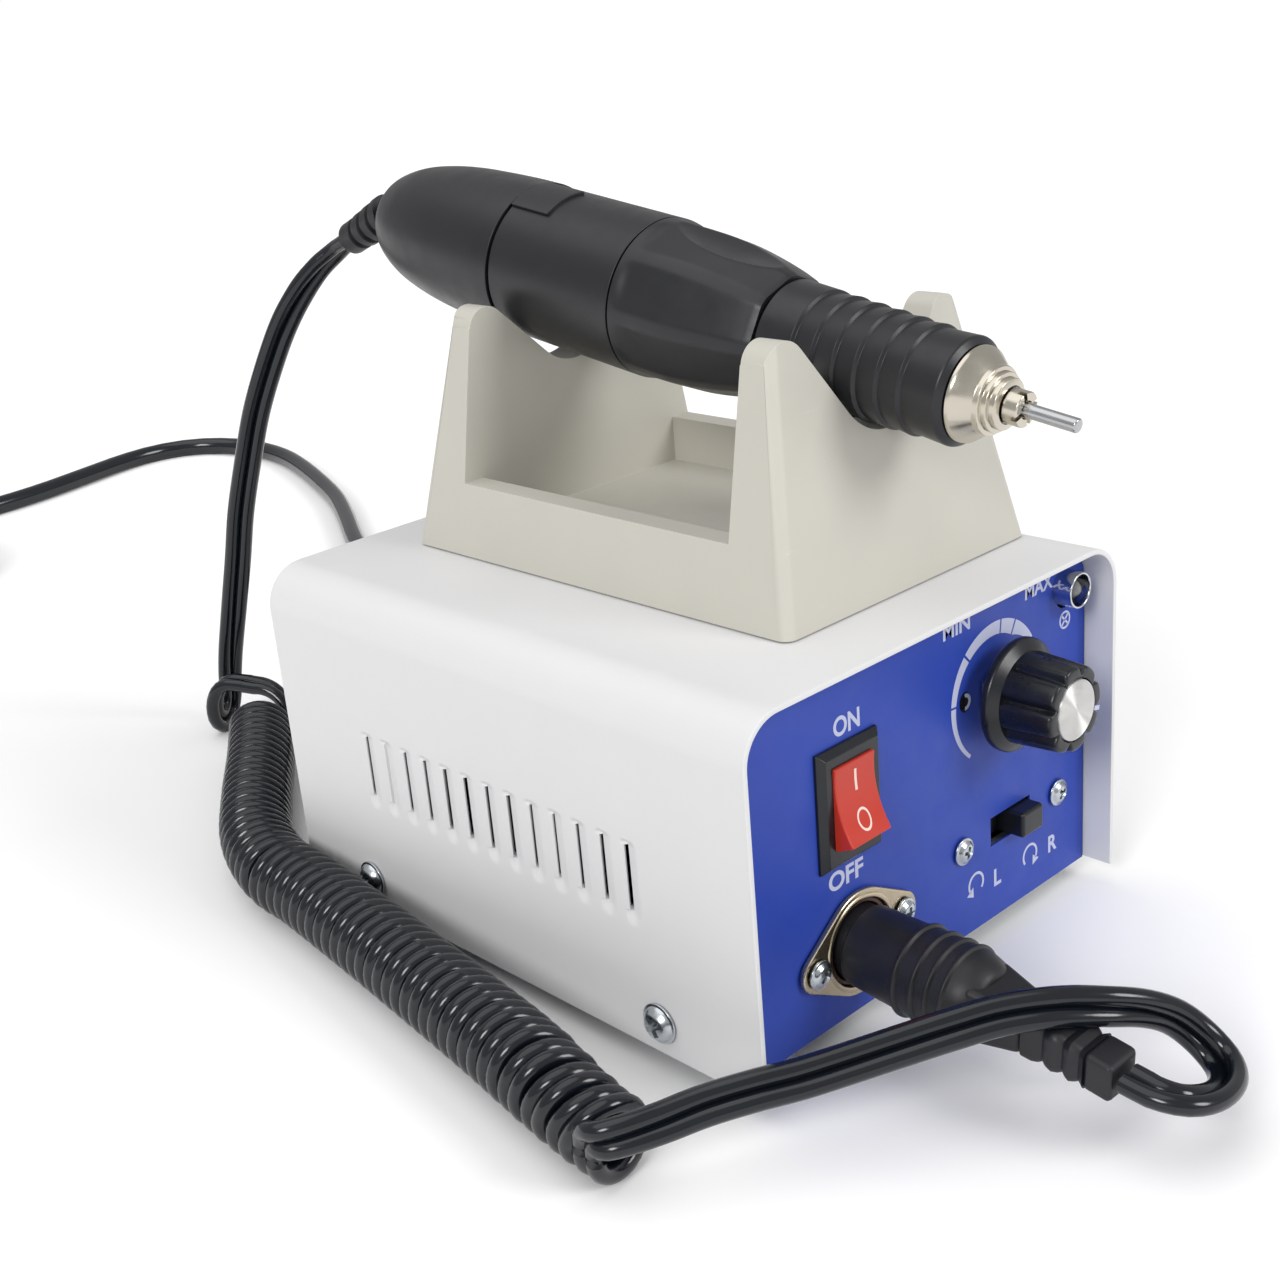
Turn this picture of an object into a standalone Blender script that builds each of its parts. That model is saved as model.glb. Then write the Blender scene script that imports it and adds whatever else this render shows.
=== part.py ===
"""Dental laboratory micromotor: control box, cradle, motor handpiece and cords.

The control box stands on four feet on the plane z = 0 and faces -Y, with +X to its right.
The origin lies under the middle of the box and handpiece together. Lengths are in metres.
"""
import math

import bmesh
import bpy
from mathutils import Matrix, Vector

MM = 0.001

# Clearances
GAP = 0.3 * MM
RUNNING_GAP = 0.5 * MM
WELD = 0.001 * MM
OVERRUN = 2.0 * MM

# Case
CASE_WIDTH = 98.0 * MM
CASE_DEPTH = 123.0 * MM
COVER_HEIGHT = 64.5 * MM
SHEET = 1.0 * MM
COVER_BEND = 8.0 * MM
FOOT_HEIGHT = 4.0 * MM
FOOT_RADIUS = 6.0 * MM
FOOT_INSET = 20.0 * MM
FRONT_RECESS = 5.8 * MM
REAR_RECESS = 1.2 * MM
LABEL_THICKNESS = 0.4 * MM
LIP_HEIGHT = 12.0 * MM

# Louvres in the side walls
LOUVRE_COUNT = 13
LOUVRE_PITCH = 5.76 * MM
LOUVRE_HEIGHT = 15.5 * MM
LOUVRE_WIDTH = 1.3 * MM
LOUVRE_BOTTOM = 21.0 * MM
LOUVRE_MIDDLE = -0.6 * MM

# Cover screws
COVER_SCREW_SPREAD = 39.4 * MM
COVER_SCREW_HEIGHT = 6.2 * MM
PAN_HEAD_RADIUS = 2.8 * MM
PAN_HEAD_HEIGHT = 1.9 * MM
PAN_SHANK_RADIUS = 1.4 * MM
PAN_SHANK_LENGTH = 6.0 * MM
CROWN_SHARE = 0.7

# Power rocker
ROCKER_X = -20.0 * MM
ROCKER_Z = 39.3 * MM
BEZEL_WIDTH = 15.0 * MM
BEZEL_HEIGHT = 21.0 * MM
BEZEL_PROUD = 1.6 * MM
BEZEL_CHAMFER = 0.6 * MM
ROCKER_OPENING_WIDTH = 10.4 * MM
ROCKER_OPENING_HEIGHT = 16.4 * MM
ROCKER_BODY_WIDTH = 13.0 * MM
ROCKER_BODY_HEIGHT = 19.0 * MM
ROCKER_BODY_DEPTH = 12.0 * MM
ROCKER_CAVITY_DEPTH = 9.5 * MM
ROCKER_PIVOT_DEPTH = 3.0 * MM
ROCKER_TIP = 6.65 * MM
ROCKER_TIP_REACH = 5.24 * MM
ROCKER_VALLEY_REACH = 4.0 * MM
ROCKER_SHOULDER = 7.4 * MM
ROCKER_SHOULDER_REACH = 1.4 * MM
ROCKER_FOOT = 5.0 * MM
ROCKER_FOOT_REACH = 1.8 * MM
ROCKER_SWING = math.radians(13.0)
TERMINAL_LENGTH = 7.0 * MM
TERMINAL_WIDTH = 4.8 * MM
TERMINAL_THICKNESS = 0.8 * MM
TERMINAL_SPREAD = 5.0 * MM

# Speed control
KNOB_INSET = 28.2 * MM
KNOB_X = CASE_WIDTH / 2 - KNOB_INSET
KNOB_Z = 44.2 * MM
KNOB_STANDOFF = 0.8 * MM
KNOB_SKIRT_RADIUS = 10.4 * MM
KNOB_SKIRT_HEIGHT = 3.0 * MM
KNOB_HEIGHT = 15.0 * MM
KNOB_BACK_RADIUS = 8.2 * MM
KNOB_FRONT_RADIUS = 7.6 * MM
KNOB_FLUTE_DEPTH = 0.7 * MM
KNOB_FLUTES = 8
KNOB_RECESS_RADIUS = 6.6 * MM
KNOB_RECESS_DEPTH = 3.0 * MM
KNOB_BORE_DEPTH = 11.0 * MM
KNOB_DISC_RADIUS = 5.3 * MM
KNOB_DISC_THICKNESS = 0.9 * MM
KNOB_DISC_PROUD = 0.2 * MM
POT_SHAFT_RADIUS = 3.0 * MM
POT_SHAFT_LENGTH = 11.0 * MM
POT_BUSH_RADIUS = 3.5 * MM
POT_BODY_RADIUS = 8.0 * MM
POT_BODY_DEPTH = 9.0 * MM
POT_NUT_RADIUS = 5.6 * MM
POT_NUT_HEIGHT = 2.0 * MM

# Pilot lamp
LAMP_INSET = 7.7 * MM
LAMP_X = CASE_WIDTH / 2 - LAMP_INSET
LAMP_Z = 55.6 * MM
LAMP_RADIUS = 2.6 * MM
LAMP_COLLAR_RADIUS = 3.0 * MM
LAMP_COLLAR_HEIGHT = 1.0 * MM
LAMP_PROUD = 3.8 * MM
LAMP_BORE = 2.1 * MM
LAMP_DEPTH = 7.0 * MM
LED_RADIUS = 1.5 * MM
LED_FLANGE_RADIUS = 1.8 * MM
LED_RECESS = 2.0 * MM
LED_LENGTH = 5.2 * MM
LED_FLANGE_HEIGHT = 1.0 * MM

# Direction switch
SLIDE_INSET = 24.6 * MM
SLIDE_X = CASE_WIDTH / 2 - SLIDE_INSET
SLIDE_Z = 17.3 * MM
SLIDE_SLOT_WIDTH = 12.0 * MM
SLIDE_SLOT_HEIGHT = 5.6 * MM
SLIDE_BUTTON_WIDTH = 6.4 * MM
SLIDE_BUTTON_HEIGHT = 4.9 * MM
SLIDE_BUTTON_PROUD = 3.4 * MM
SLIDE_CARRIAGE_WIDTH = 9.0 * MM
SLIDE_CARRIAGE_DEPTH = 2.0 * MM
SLIDE_BODY_WIDTH = 20.0 * MM
SLIDE_BODY_HEIGHT = 10.0 * MM
SLIDE_BODY_DEPTH = 6.5 * MM
SLIDE_EAR_WIDTH = 35.0 * MM
SLIDE_EAR_THICKNESS = 0.8 * MM
SLIDE_SCREW_SPREAD = 14.4 * MM
PANEL_HEAD_RADIUS = 2.3 * MM
PANEL_HEAD_HEIGHT = 1.5 * MM
PANEL_SHANK_RADIUS = 1.2 * MM
PANEL_SHANK_LENGTH = 4.5 * MM

# Output socket and its plug
SOCKET_X = -19.2 * MM
SOCKET_Z = 13.4 * MM
SOCKET_TURN = math.radians(4.0)
SOCKET_SCREW_SPREAD = 11.0 * MM
FLANGE_END_RADIUS = 3.5 * MM
FLANGE_MIDDLE_RADIUS = 9.4 * MM
FLANGE_THICKNESS = 1.0 * MM
FLANGE_BORE = 7.7 * MM
SOCKET_BODY_RADIUS = 8.4 * MM
SOCKET_BODY_DEPTH = 12.0 * MM
INSERT_DEPTH = 4.5 * MM
INSERT_FACE_DEPTH = 6.2 * MM
PLUG_DROOP = math.radians(4.5)
PLUG_NOSE_RADIUS = 6.5 * MM
PLUG_NOSE_LENGTH = 4.6 * MM
PLUG_STANDOFF = 1.2 * MM
PLUG_FRONT_RADIUS = 7.0 * MM
PLUG_BACK_RADIUS = 7.3 * MM
PLUG_RIDGE_RADIUS = 8.0 * MM
PLUG_GROOVE_DEPTH = 0.5 * MM
PLUG_BARREL = 7.8 * MM
PLUG_RIDGE_PITCH = 3.0 * MM
PLUG_RIDGES = 4
PLUG_RIDGE_SHARES = [(0.1, 0.0), (0.6, 0.0), (0.7, 1.0), (1.0, 1.0)]
PLUG_TAPER = 10.0 * MM
PLUG_NECK_RADIUS = 5.2 * MM
BOOT_LENGTH = 14.7 * MM
BOOT_WIDTH = 7.6 * MM
BOOT_HEIGHT = 6.2 * MM
BOOT_RIBS = 5
BOOT_RIB_DEPTH = 0.8 * MM
BOOT_BLOCK_LENGTH = 3.5 * MM
BOOT_RIB_SHARES = [(0.35, 0.0), (0.5, 1.0), (0.85, 1.0), (1.0, 0.0)]
BOOT_BLOCK_WIDTH = 8.0 * MM
BOOT_BLOCK_HEIGHT = 6.8 * MM

# Inside the case
CORE_WIDTH = 42.0 * MM
CORE_DEPTH = 20.0 * MM
CORE_HEIGHT = 35.0 * MM
CORE_INSET = 10.0 * MM
CORE_REAR_INSET = 35.5 * MM
CORE_X = CORE_INSET + CORE_WIDTH / 2 - CASE_WIDTH / 2
CORE_Y = CASE_DEPTH / 2 - CORE_REAR_INSET
WINDOW_WIDTH = 28.0 * MM
WINDOW_HEIGHT = 21.0 * MM
COIL_OVERHANG = 8.0 * MM
BOARD_CORE_GAP = 4.0 * MM
BOARD_INSET = 8.0 * MM
BOARD_REAR_INSET = 12.5 * MM
BOARD_LEFT = CORE_X + CORE_WIDTH / 2 + BOARD_CORE_GAP
BOARD_WIDTH = CASE_WIDTH / 2 - BOARD_INSET - BOARD_LEFT
BOARD_DEPTH = 62.0 * MM
BOARD_THICKNESS = 1.6 * MM
BOARD_X = BOARD_LEFT + BOARD_WIDTH / 2
BOARD_Y = CASE_DEPTH / 2 - BOARD_REAR_INSET - BOARD_DEPTH / 2
BOARD_POST = 4.0 * MM
BOARD_POST_RADIUS = 2.5 * MM
BOARD_POST_INSET = 4.0 * MM
CAPACITOR_RADIUS = 6.0 * MM
CAPACITOR_HEIGHT = 20.0 * MM
HEAT_SINK_WIDTH = 4.0 * MM
HEAT_SINK_DEPTH = 24.0 * MM
HEAT_SINK_HEIGHT = 18.0 * MM

# Rear plate
BUSHING_X = 22.0 * MM
BUSHING_Z = 16.0 * MM
BUSHING_COLLAR_RADIUS = 7.5 * MM
BUSHING_COLLAR_HEIGHT = 3.0 * MM
BUSHING_ROOT_RADIUS = 5.6 * MM
BUSHING_END_RADIUS = 4.2 * MM
BUSHING_LENGTH = 26.0 * MM
BUSHING_NECK_RADIUS = 5.2 * MM
BUSHING_NUT_HEIGHT = 3.0 * MM
FUSE_X = -22.0 * MM
FUSE_Z = 20.0 * MM
FUSE_CAP_RADIUS = 7.0 * MM
FUSE_CROWN_SHARE = 0.9
FUSE_CAP_HEIGHT = 7.0 * MM
FUSE_BODY_RADIUS = 6.0 * MM
FUSE_BODY_LENGTH = 16.0 * MM

# Cradle
CRADLE_X = 10.0 * MM
CRADLE_Y = 0.6 * MM
CRADLE_WIDTH = 63.2 * MM
CRADLE_LENGTH = 94.0 * MM
CRADLE_DRAFT = math.radians(10.6)
CRADLE_RAIL_HEIGHT = 13.3 * MM
CRADLE_FLOOR = 4.3 * MM
CRADLE_RAIL_WIDTH = 4.0 * MM
CRADLE_BAY = 67.4 * MM
HORN_SPREAD = 19.7 * MM
HORN_RADIUS = 4.2 * MM
HORN_STEPS = 6
NOTCH_STEPS = 10
FRONT_FLANK = math.radians(55.0)
REAR_FLANK = math.radians(42.5)
REAR_NOTCH_RADIUS = 9.5 * MM

# Handpiece, measured along its axis from the point over the middle of the case
AXIS_HEIGHT = 107.9 * MM
NOSE_DROP = math.radians(8.48)
TAIL_END = -87.0 * MM
SHELL_END = -40.7 * MM
HOUSING_END = -8.3 * MM
SLEEVE_END = 22.2 * MM
GRIP_END = 60.0 * MM
CONE_END = 64.3 * MM
COLLAR_END = 67.2 * MM
NUT_END = 70.2 * MM
PIN_END = 79.5 * MM
BODY_RADIUS = 14.8 * MM
SHELL_WALL = 1.6 * MM
SHELL_SHARES = [(0.05, 0.475), (0.12, 0.638), (0.24, 0.787), (0.38, 0.882), (0.53, 0.942), (0.69, 0.974),
                (0.864, 0.995), (1.0, 1.0)]
TAIL_FLAT_RADIUS = 5.0 * MM
TAIL_HOLE_RADIUS = 3.2 * MM
TAB_LENGTH = 10.0 * MM
TAB_MIDDLE = math.radians(106.0)
TAB_HALF_SPREAD = math.radians(19.0)
TAB_HEIGHT = 0.3 * MM
SLEEVE_SHOULDER = 8.0 * MM
SLEEVE_BACK_RADIUS = 14.4 * MM
SLEEVE_MIDDLE_RADIUS = 13.8 * MM
SLEEVE_FRONT_RADIUS = 11.8 * MM
SLEEVE_END_RADIUS = 10.5 * MM
SLEEVE_SLOPE = 4.0 * MM
SLEEVE_FACETS = 8
SLEEVE_FLAT_SHARE = 0.955
THUMB_DEPTH = 2.3 * MM
THUMB_TILT = math.radians(7.0)
THUMB_LENGTH = 24.0 * MM
THUMB_RADIUS = 18.0 * MM
GRIP_RADIUS = 10.0 * MM
GRIP_FRONT_RADIUS = 9.0 * MM
GRIP_CHAMFER = 0.9 * MM
GRIP_RIB_START = 30.0 * MM
GRIP_RIB_PITCH = 4.4 * MM
GRIP_RIBS = 6
GRIP_RIB_DEPTH = 0.35 * MM
CONE_RADIUS = 7.9 * MM
CONE_FRONT_RADIUS = 5.7 * MM
COLLAR_RADIUS = 5.0 * MM
COLLAR_NECK_RADIUS = 3.4 * MM
NUT_RADIUS = 2.9 * MM
NUT_SLOT = 0.9 * MM
PIN_RADIUS = 1.175 * MM
PIN_SEAT = 12.0 * MM
PIN_CHAMFER = 0.3 * MM
CHUCK_RADIUS = 8.0 * MM
CHUCK_FLANGE_RADIUS = 12.6 * MM
CHUCK_FLANGE = 2.0 * MM
CHUCK_WALL = 1.0 * MM
SPINDLE_RADIUS = 3.0 * MM
SPINDLE_BORE_DEPTH = 13.0 * MM
BEARING_RADIUS = 6.6 * MM
BEARING_WIDTH = 5.0 * MM
ARMATURE_RADIUS = 8.2 * MM
COMMUTATOR_RADIUS = 5.0 * MM
COMMUTATOR_LENGTH = 8.0 * MM
MAGNET_WALL = 3.2 * MM
END_BELL_THICKNESS = 3.0 * MM
END_BELL_HUB = 8.4 * MM
BRUSH_WIDTH = 4.0 * MM
RELIEF_DROOP = math.radians(22.0)
RELIEF_LENGTH = 16.0 * MM
RELIEF_ROOT_RADIUS = 4.2 * MM
RELIEF_END_RADIUS = 3.5 * MM
RELIEF_RIBS = 3
RELIEF_GROOVE = 0.9 * MM
RELIEF_STEM_LENGTH = 4.0 * MM

# Cords. A twin cord is two lobes side by side
FINE_STEPS = 24
TWIN_SPACING = 8.0 * MM
MAINS_SPACING = 15.0 * MM
TAIL_DIAMETERS = 4
LOBE_RADIUS = 1.42 * MM
TWIN_TUBE_RADIUS = 2.1 * MM
CURL_RADIUS = 7.7 * MM
CURL_LIFT = 0.2 * MM
CURL_TUCK_SHARE = 0.6
CURL_REACH = 4.0 * MM
CURL_STRETCH = 9.0 * MM
CURLS = 27
CURL_POINTS = 8
CURL_FINE_STEPS = 12
LOBE_POINTS = 4
MAINS_RADIUS = 3.1 * MM
MAINS_LIFT = 0.1 * MM
LOOPS = 5
LOOP_POINTS = 24
LOOP_RADIUS = 34.0 * MM
LOOP_PITCH = 6.9 * MM
LAYER_RISE = 6.7 * MM
MAINS_COIL_X = -36.0 * MM
MAINS_COIL_Y = 340.5 * MM
MAINS_PLUG_LENGTH = 36.0 * MM
MAINS_PLUG_WIDTH = 28.0 * MM
MAINS_PLUG_HEIGHT = 19.0 * MM
MAINS_PLUG_BEVEL = 3.0 * MM
MAINS_PIN_RADIUS = 2.0 * MM
MAINS_PIN_LENGTH = 18.0 * MM
MAINS_PIN_SPREAD = 9.2 * MM
PLUG_RELIEF_LENGTH = 22.0 * MM
PLUG_RELIEF_RADIUS = 4.4 * MM

# Counts of sides on round pieces
ROUND_SIDES = 24
SMALL_SIDES = 16
TINY_SIDES = 12
TUBE_RESOLUTION = 2

# Reach of the handpiece in front of and behind the middle of the case
NOSE_REACH = PIN_END * math.cos(NOSE_DROP) + (PIN_RADIUS - PIN_CHAMFER) * math.sin(NOSE_DROP)
RELIEF_STANDOFF = RELIEF_ROOT_RADIUS * math.sin(RELIEF_DROOP + NOSE_DROP) + GAP
RELIEF_ROOT = -TAIL_END + RELIEF_STANDOFF
TAIL_REACH = (RELIEF_ROOT * math.cos(NOSE_DROP) + RELIEF_LENGTH * math.cos(RELIEF_DROOP)
              + RELIEF_END_RADIUS * math.sin(RELIEF_DROOP))
CASE_Y = (NOSE_REACH - TAIL_REACH) / 2

# Derived places of the case
CASE_TOP = FOOT_HEIGHT + COVER_HEIGHT
FRONT = CASE_Y - CASE_DEPTH / 2
REAR = CASE_Y + CASE_DEPTH / 2
LABEL_FACE = FRONT + FRONT_RECESS
PLATE_FACE = LABEL_FACE + LABEL_THICKNESS + GAP
PLATE_BACK = PLATE_FACE + SHEET
REAR_FACE = REAR - REAR_RECESS
TRAY_HALF_WIDTH = CASE_WIDTH / 2 - SHEET - GAP
FLOOR_TOP = FOOT_HEIGHT + GAP + SHEET
PLATE_TOP = CASE_TOP - SHEET - GAP
PLATE_CORNER = COVER_BEND - SHEET - GAP

# Cord routes, case standing still, as points that were chosen by hand
HANDPIECE_CORD_ROUTE = [
    (-13.7, 126.0, 14.3), (-15.5, 129.8, 14.4), (-18.3, 133.0, 12.6), (-19.9, 134.6, 8.8),
    (-19.2, 134.9, 4.8), (-16.6, 136.4, 2.9), (-13.4, 138.8, 3.8), (-11.3, 140.5, 7.6),
    (-10.4, 140.7, 13.0), (-9.8, 139.2, 19.6), (-9.1, 135.9, 29.7), (-7.9, 131.9, 43.1),
    (-6.9, 128.0, 56.1), (-5.4, 122.7, 70.0), (-3.9, 118.2, 80.9), (-1.7, 113.0, 91.5),
    (0.6, 108.0, 100.6), (3.3, 103.3, 107.8), (6.4, 99.6, 112.8), (9.2, 96.8, 115.8),
    (10.0, 94.5, 117.4), (10.0, 90.7, 119.0),
]
FRONT_LEAD_ROUTE = [
    (-19.2, -119.3, 13.5), (-19.2, -123.5, 13.2), (-17.4, -127.2, 12.3), (-13.4, -128.8, 10.8),
    (-8.4, -128.6, 9.2), (-4.0, -127.0, 8.2), (-1.0, -124.2, 8.4), (-0.9, -120.6, 11.2),
    (-3.6, -117.8, 14.6), (-8.2, -115.6, 17.6), (-14.0, -112.8, 19.8), (-20.4, -108.0, 21.0),
    (-26.8, -102.8, 20.8),
    (-33.3, -98.4, 19.8), (-39.0, -94.2, 18.4), (-45.7, -89.4, 16.8), (-51.8, -85.0, 15.4),
    (-58.0, -81.4, 14.0), (-64.2, -78.2, 12.0), (-69.5, -73.7, 10.4), (-71.9, -70.3, 10.4),
]
CURLY_AXIS = [
    (-73.0, -63.8), (-71.0, -53.4), (-67.2, -33.4), (-63.2, -5.4), (-60.3, 16.6), (-58.0, 36.0),
    (-56.9, 49.0), (-51.6, 64.0), (-41.6, 80.0), (-28.6, 98.6), (-17.4, 115.6),
]
MAINS_LEAD_ROUTE = [
    (22.0, 73.7, 20.0), (22.0, 79.9, 20.0), (22.3, 86.0, 19.0), (23.4, 93.0, 16.2), (25.6, 100.0, 11.8),
    (28.6, 107.0, 7.2), (32.4, 114.0, 4.2), (37.0, 121.6, 3.2), (43.0, 132.0, 3.2), (56.0, 161.6, 3.2),
    (73.0, 194.6, 3.2), (90.0, 228.6, 3.2), (104.0, 253.6, 3.2), (116.0, 276.6, 3.2), (126.0, 301.6, 3.2),
    (134.0, 324.6, 3.2), (139.0, 343.6, 3.2), (140.4, 361.0, 3.2), (137.6, 378.6, 3.2), (129.0, 392.6, 3.2),
    (116.0, 399.0, 3.2), (100.0, 398.6, 3.2), (79.0, 393.0, 3.2), (60.0, 388.0, 3.2), (42.0, 385.6, 3.2),
    (22.0, 385.8, 3.2), (2.0, 387.0, 3.2), (-12.0, 386.6, 3.2), (-23.4, 385.1, 3.2), (-29.6, 384.1, 3.2),
]


# Scene and object helpers

def clear_scene():
    for item in list(bpy.data.objects):
        bpy.data.objects.remove(item, do_unlink=True)


def finish(name, red, green, blue, roughness, metallic=0.0):
    """One plain material with the colour, roughness and metallic value of the real surface."""
    made = bpy.data.materials.new(name)
    made.use_nodes = True
    shader = made.node_tree.nodes["Principled BSDF"]
    shader.inputs["Base Color"].default_value = (red, green, blue, 1.0)
    shader.inputs["Roughness"].default_value = roughness
    shader.inputs["Metallic"].default_value = metallic
    return made


def add_object(name, shape, surface=None, location=(0, 0, 0), rotation=(0, 0, 0), parent=None):
    """Turn a bmesh into a named object with its faces pointing out."""
    bmesh.ops.recalc_face_normals(shape, faces=shape.faces)
    mesh = bpy.data.meshes.new(name)
    shape.to_mesh(mesh)
    shape.free()
    made = bpy.data.objects.new(name, mesh)
    bpy.context.scene.collection.objects.link(made)
    made.location = location
    made.rotation_euler = rotation
    made.parent = parent
    if surface is not None:
        mesh.materials.append(surface)
        mesh.shade_smooth()
        mesh.set_sharp_from_angle(angle=math.radians(35.0))
    return made


def add_empty(name, location, rotation=(0, 0, 0), parent=None):
    made = bpy.data.objects.new(name, None)
    bpy.context.scene.collection.objects.link(made)
    made.location = location
    made.rotation_euler = rotation
    made.parent = parent
    return made


def combine(target, tool, operation):
    """Cut or join with another solid, which stays behind as a wire guide."""
    tool.hide_render = True
    tool.display_type = 'WIRE'
    modifier = target.modifiers.new(tool.name, 'BOOLEAN')
    modifier.operation = operation
    modifier.object = tool
    modifier.solver = 'EXACT'


def cut(target, shape, name, **place):
    combine(target, add_object(name, shape, **place), 'DIFFERENCE')


def join(target, shape, name, **place):
    combine(target, add_object(name, shape, **place), 'UNION')


# Shape helpers. Each takes an optional bmesh to add to

def block(low, high, shape=None):
    shape = shape or bmesh.new()
    low, high = Vector(low), Vector(high)
    size = high - low
    place = Matrix.Translation((low + high) / 2) @ Matrix.Diagonal((*size, 1.0))
    bmesh.ops.create_cube(shape, size=1.0, matrix=place)
    return shape


def turned(profile, sides=ROUND_SIDES, shape=None, place=None):
    """Turn a closed outline of (radius, height) points about Z."""
    shape = shape or bmesh.new()
    points = [shape.verts.new((radius, 0.0, height)) for radius, height in profile]
    edges = [shape.edges.new((a, b)) for a, b in zip(points, points[1:] + points[:1])]
    made = bmesh.ops.spin(shape, geom=points + edges, cent=(0, 0, 0), axis=(0, 0, 1),
                          angle=math.tau, steps=sides, use_merge=True)
    bmesh.ops.remove_doubles(shape, verts=shape.verts, dist=WELD)
    loose = [edge for edge in shape.edges if not edge.link_faces]
    bmesh.ops.delete(shape, geom=loose, context='EDGES')
    if place is not None:
        bmesh.ops.transform(shape, matrix=place, verts=shape.verts)
    return shape


def rod(radius, low, high, sides=SMALL_SIDES, shape=None, place=None):
    """A plain cylinder along Z from low to high."""
    shape = shape or bmesh.new()
    middle = Matrix.Translation((0, 0, (low + high) / 2))
    bmesh.ops.create_cone(shape, cap_ends=True, segments=sides, radius1=radius, radius2=radius,
                          depth=high - low, matrix=(place or Matrix()) @ middle)
    return shape


def prism(outline, low, high, axes=(0, 2, 1), shape=None):
    """Extrude a flat outline; axes name where its two coordinates and its depth go."""
    shape = shape or bmesh.new()
    ends = []
    for depth in (low, high):
        ring = []
        for first, second in outline:
            spot = [0.0, 0.0, 0.0]
            spot[axes[0]], spot[axes[1]], spot[axes[2]] = first, second, depth
            ring.append(shape.verts.new(spot))
        ends.append(ring)
    shape.faces.new(ends[0])
    shape.faces.new(list(reversed(ends[1])))
    count = len(outline)
    for i in range(count):
        j = (i + 1) % count
        shape.faces.new((ends[0][i], ends[1][i], ends[1][j], ends[0][j]))
    return shape


def arc(centre, radius, start, end, steps):
    """Points on an arc, angles in radians, both ends included."""
    points = []
    for i in range(steps + 1):
        angle = start + (end - start) * i / steps
        points.append((centre[0] + radius * math.cos(angle), centre[1] + radius * math.sin(angle)))
    return points


def facing_front(x, y, z):
    """A place on the front whose local Z points out of it, towards -Y."""
    return Matrix.Translation((x, y, z)) @ Matrix.Rotation(math.radians(90.0), 4, 'X')


def curve_through(points):
    """A smooth curve through the points, sampled finely, as a list of vectors."""
    points = [Vector(p) for p in points]
    ends = [2 * points[0] - points[1]] + points + [2 * points[-1] - points[-2]]
    fine = []
    for a, b, c, d in zip(ends, ends[1:], ends[2:], ends[3:]):
        for i in range(FINE_STEPS):
            t = i / FINE_STEPS
            fine.append(0.5 * ((2 * b) + (c - a) * t + (2 * a - 5 * b + 4 * c - d) * t * t
                               + (3 * b - a - 3 * c + d) * t ** 3))
    fine.append(points[-1])
    return fine


def spaced(fine, count):
    """Points at equal distances along a finely sampled curve."""
    lengths = [0.0]
    for a, b in zip(fine, fine[1:]):
        lengths.append(lengths[-1] + (b - a).length)
    found = []
    k = 0
    for i in range(count + 1):
        wanted = lengths[-1] * i / count
        while k < len(fine) - 2 and lengths[k + 1] < wanted:
            k += 1
        share = (wanted - lengths[k]) / (lengths[k + 1] - lengths[k])
        found.append(fine[k].lerp(fine[k + 1], min(max(share, 0.0), 1.0)))
    return found, lengths[-1]


def tube(name, points, radius, surface, resolution=TUBE_RESOLUTION):
    """A round tube along the points with closed ends."""
    curve = bpy.data.curves.new(name, 'CURVE')
    curve.dimensions = '3D'
    line = curve.splines.new('POLY')
    line.points.add(len(points) - 1)
    for spot, point in zip(line.points, points):
        spot.co = (*point, 1.0)
    curve.bevel_depth = radius
    curve.bevel_resolution = resolution
    curve.use_fill_caps = True
    curve.materials.append(surface)
    made = bpy.data.objects.new(name, curve)
    bpy.context.scene.collection.objects.link(made)
    return made


def least_gap(points, reach, skip):
    """Least distance between points that are more than skip steps apart, less the reach."""
    least = min((a - b).length for i, a in enumerate(points) for b in points[i + skip:])
    return least - reach


# Case

def cover_outline(grow):
    """The cover's outer outline in X and Z, drawn in by grow."""
    half = CASE_WIDTH / 2 - grow
    top = CASE_TOP - grow
    bend = COVER_BEND - grow
    quarter = math.pi / 2
    return ([(half, FOOT_HEIGHT)] + arc((half - bend, top - bend), bend, 0, quarter, 5)
            + arc((bend - half, top - bend), bend, quarter, math.pi, 5) + [(-half, FOOT_HEIGHT)])


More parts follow.
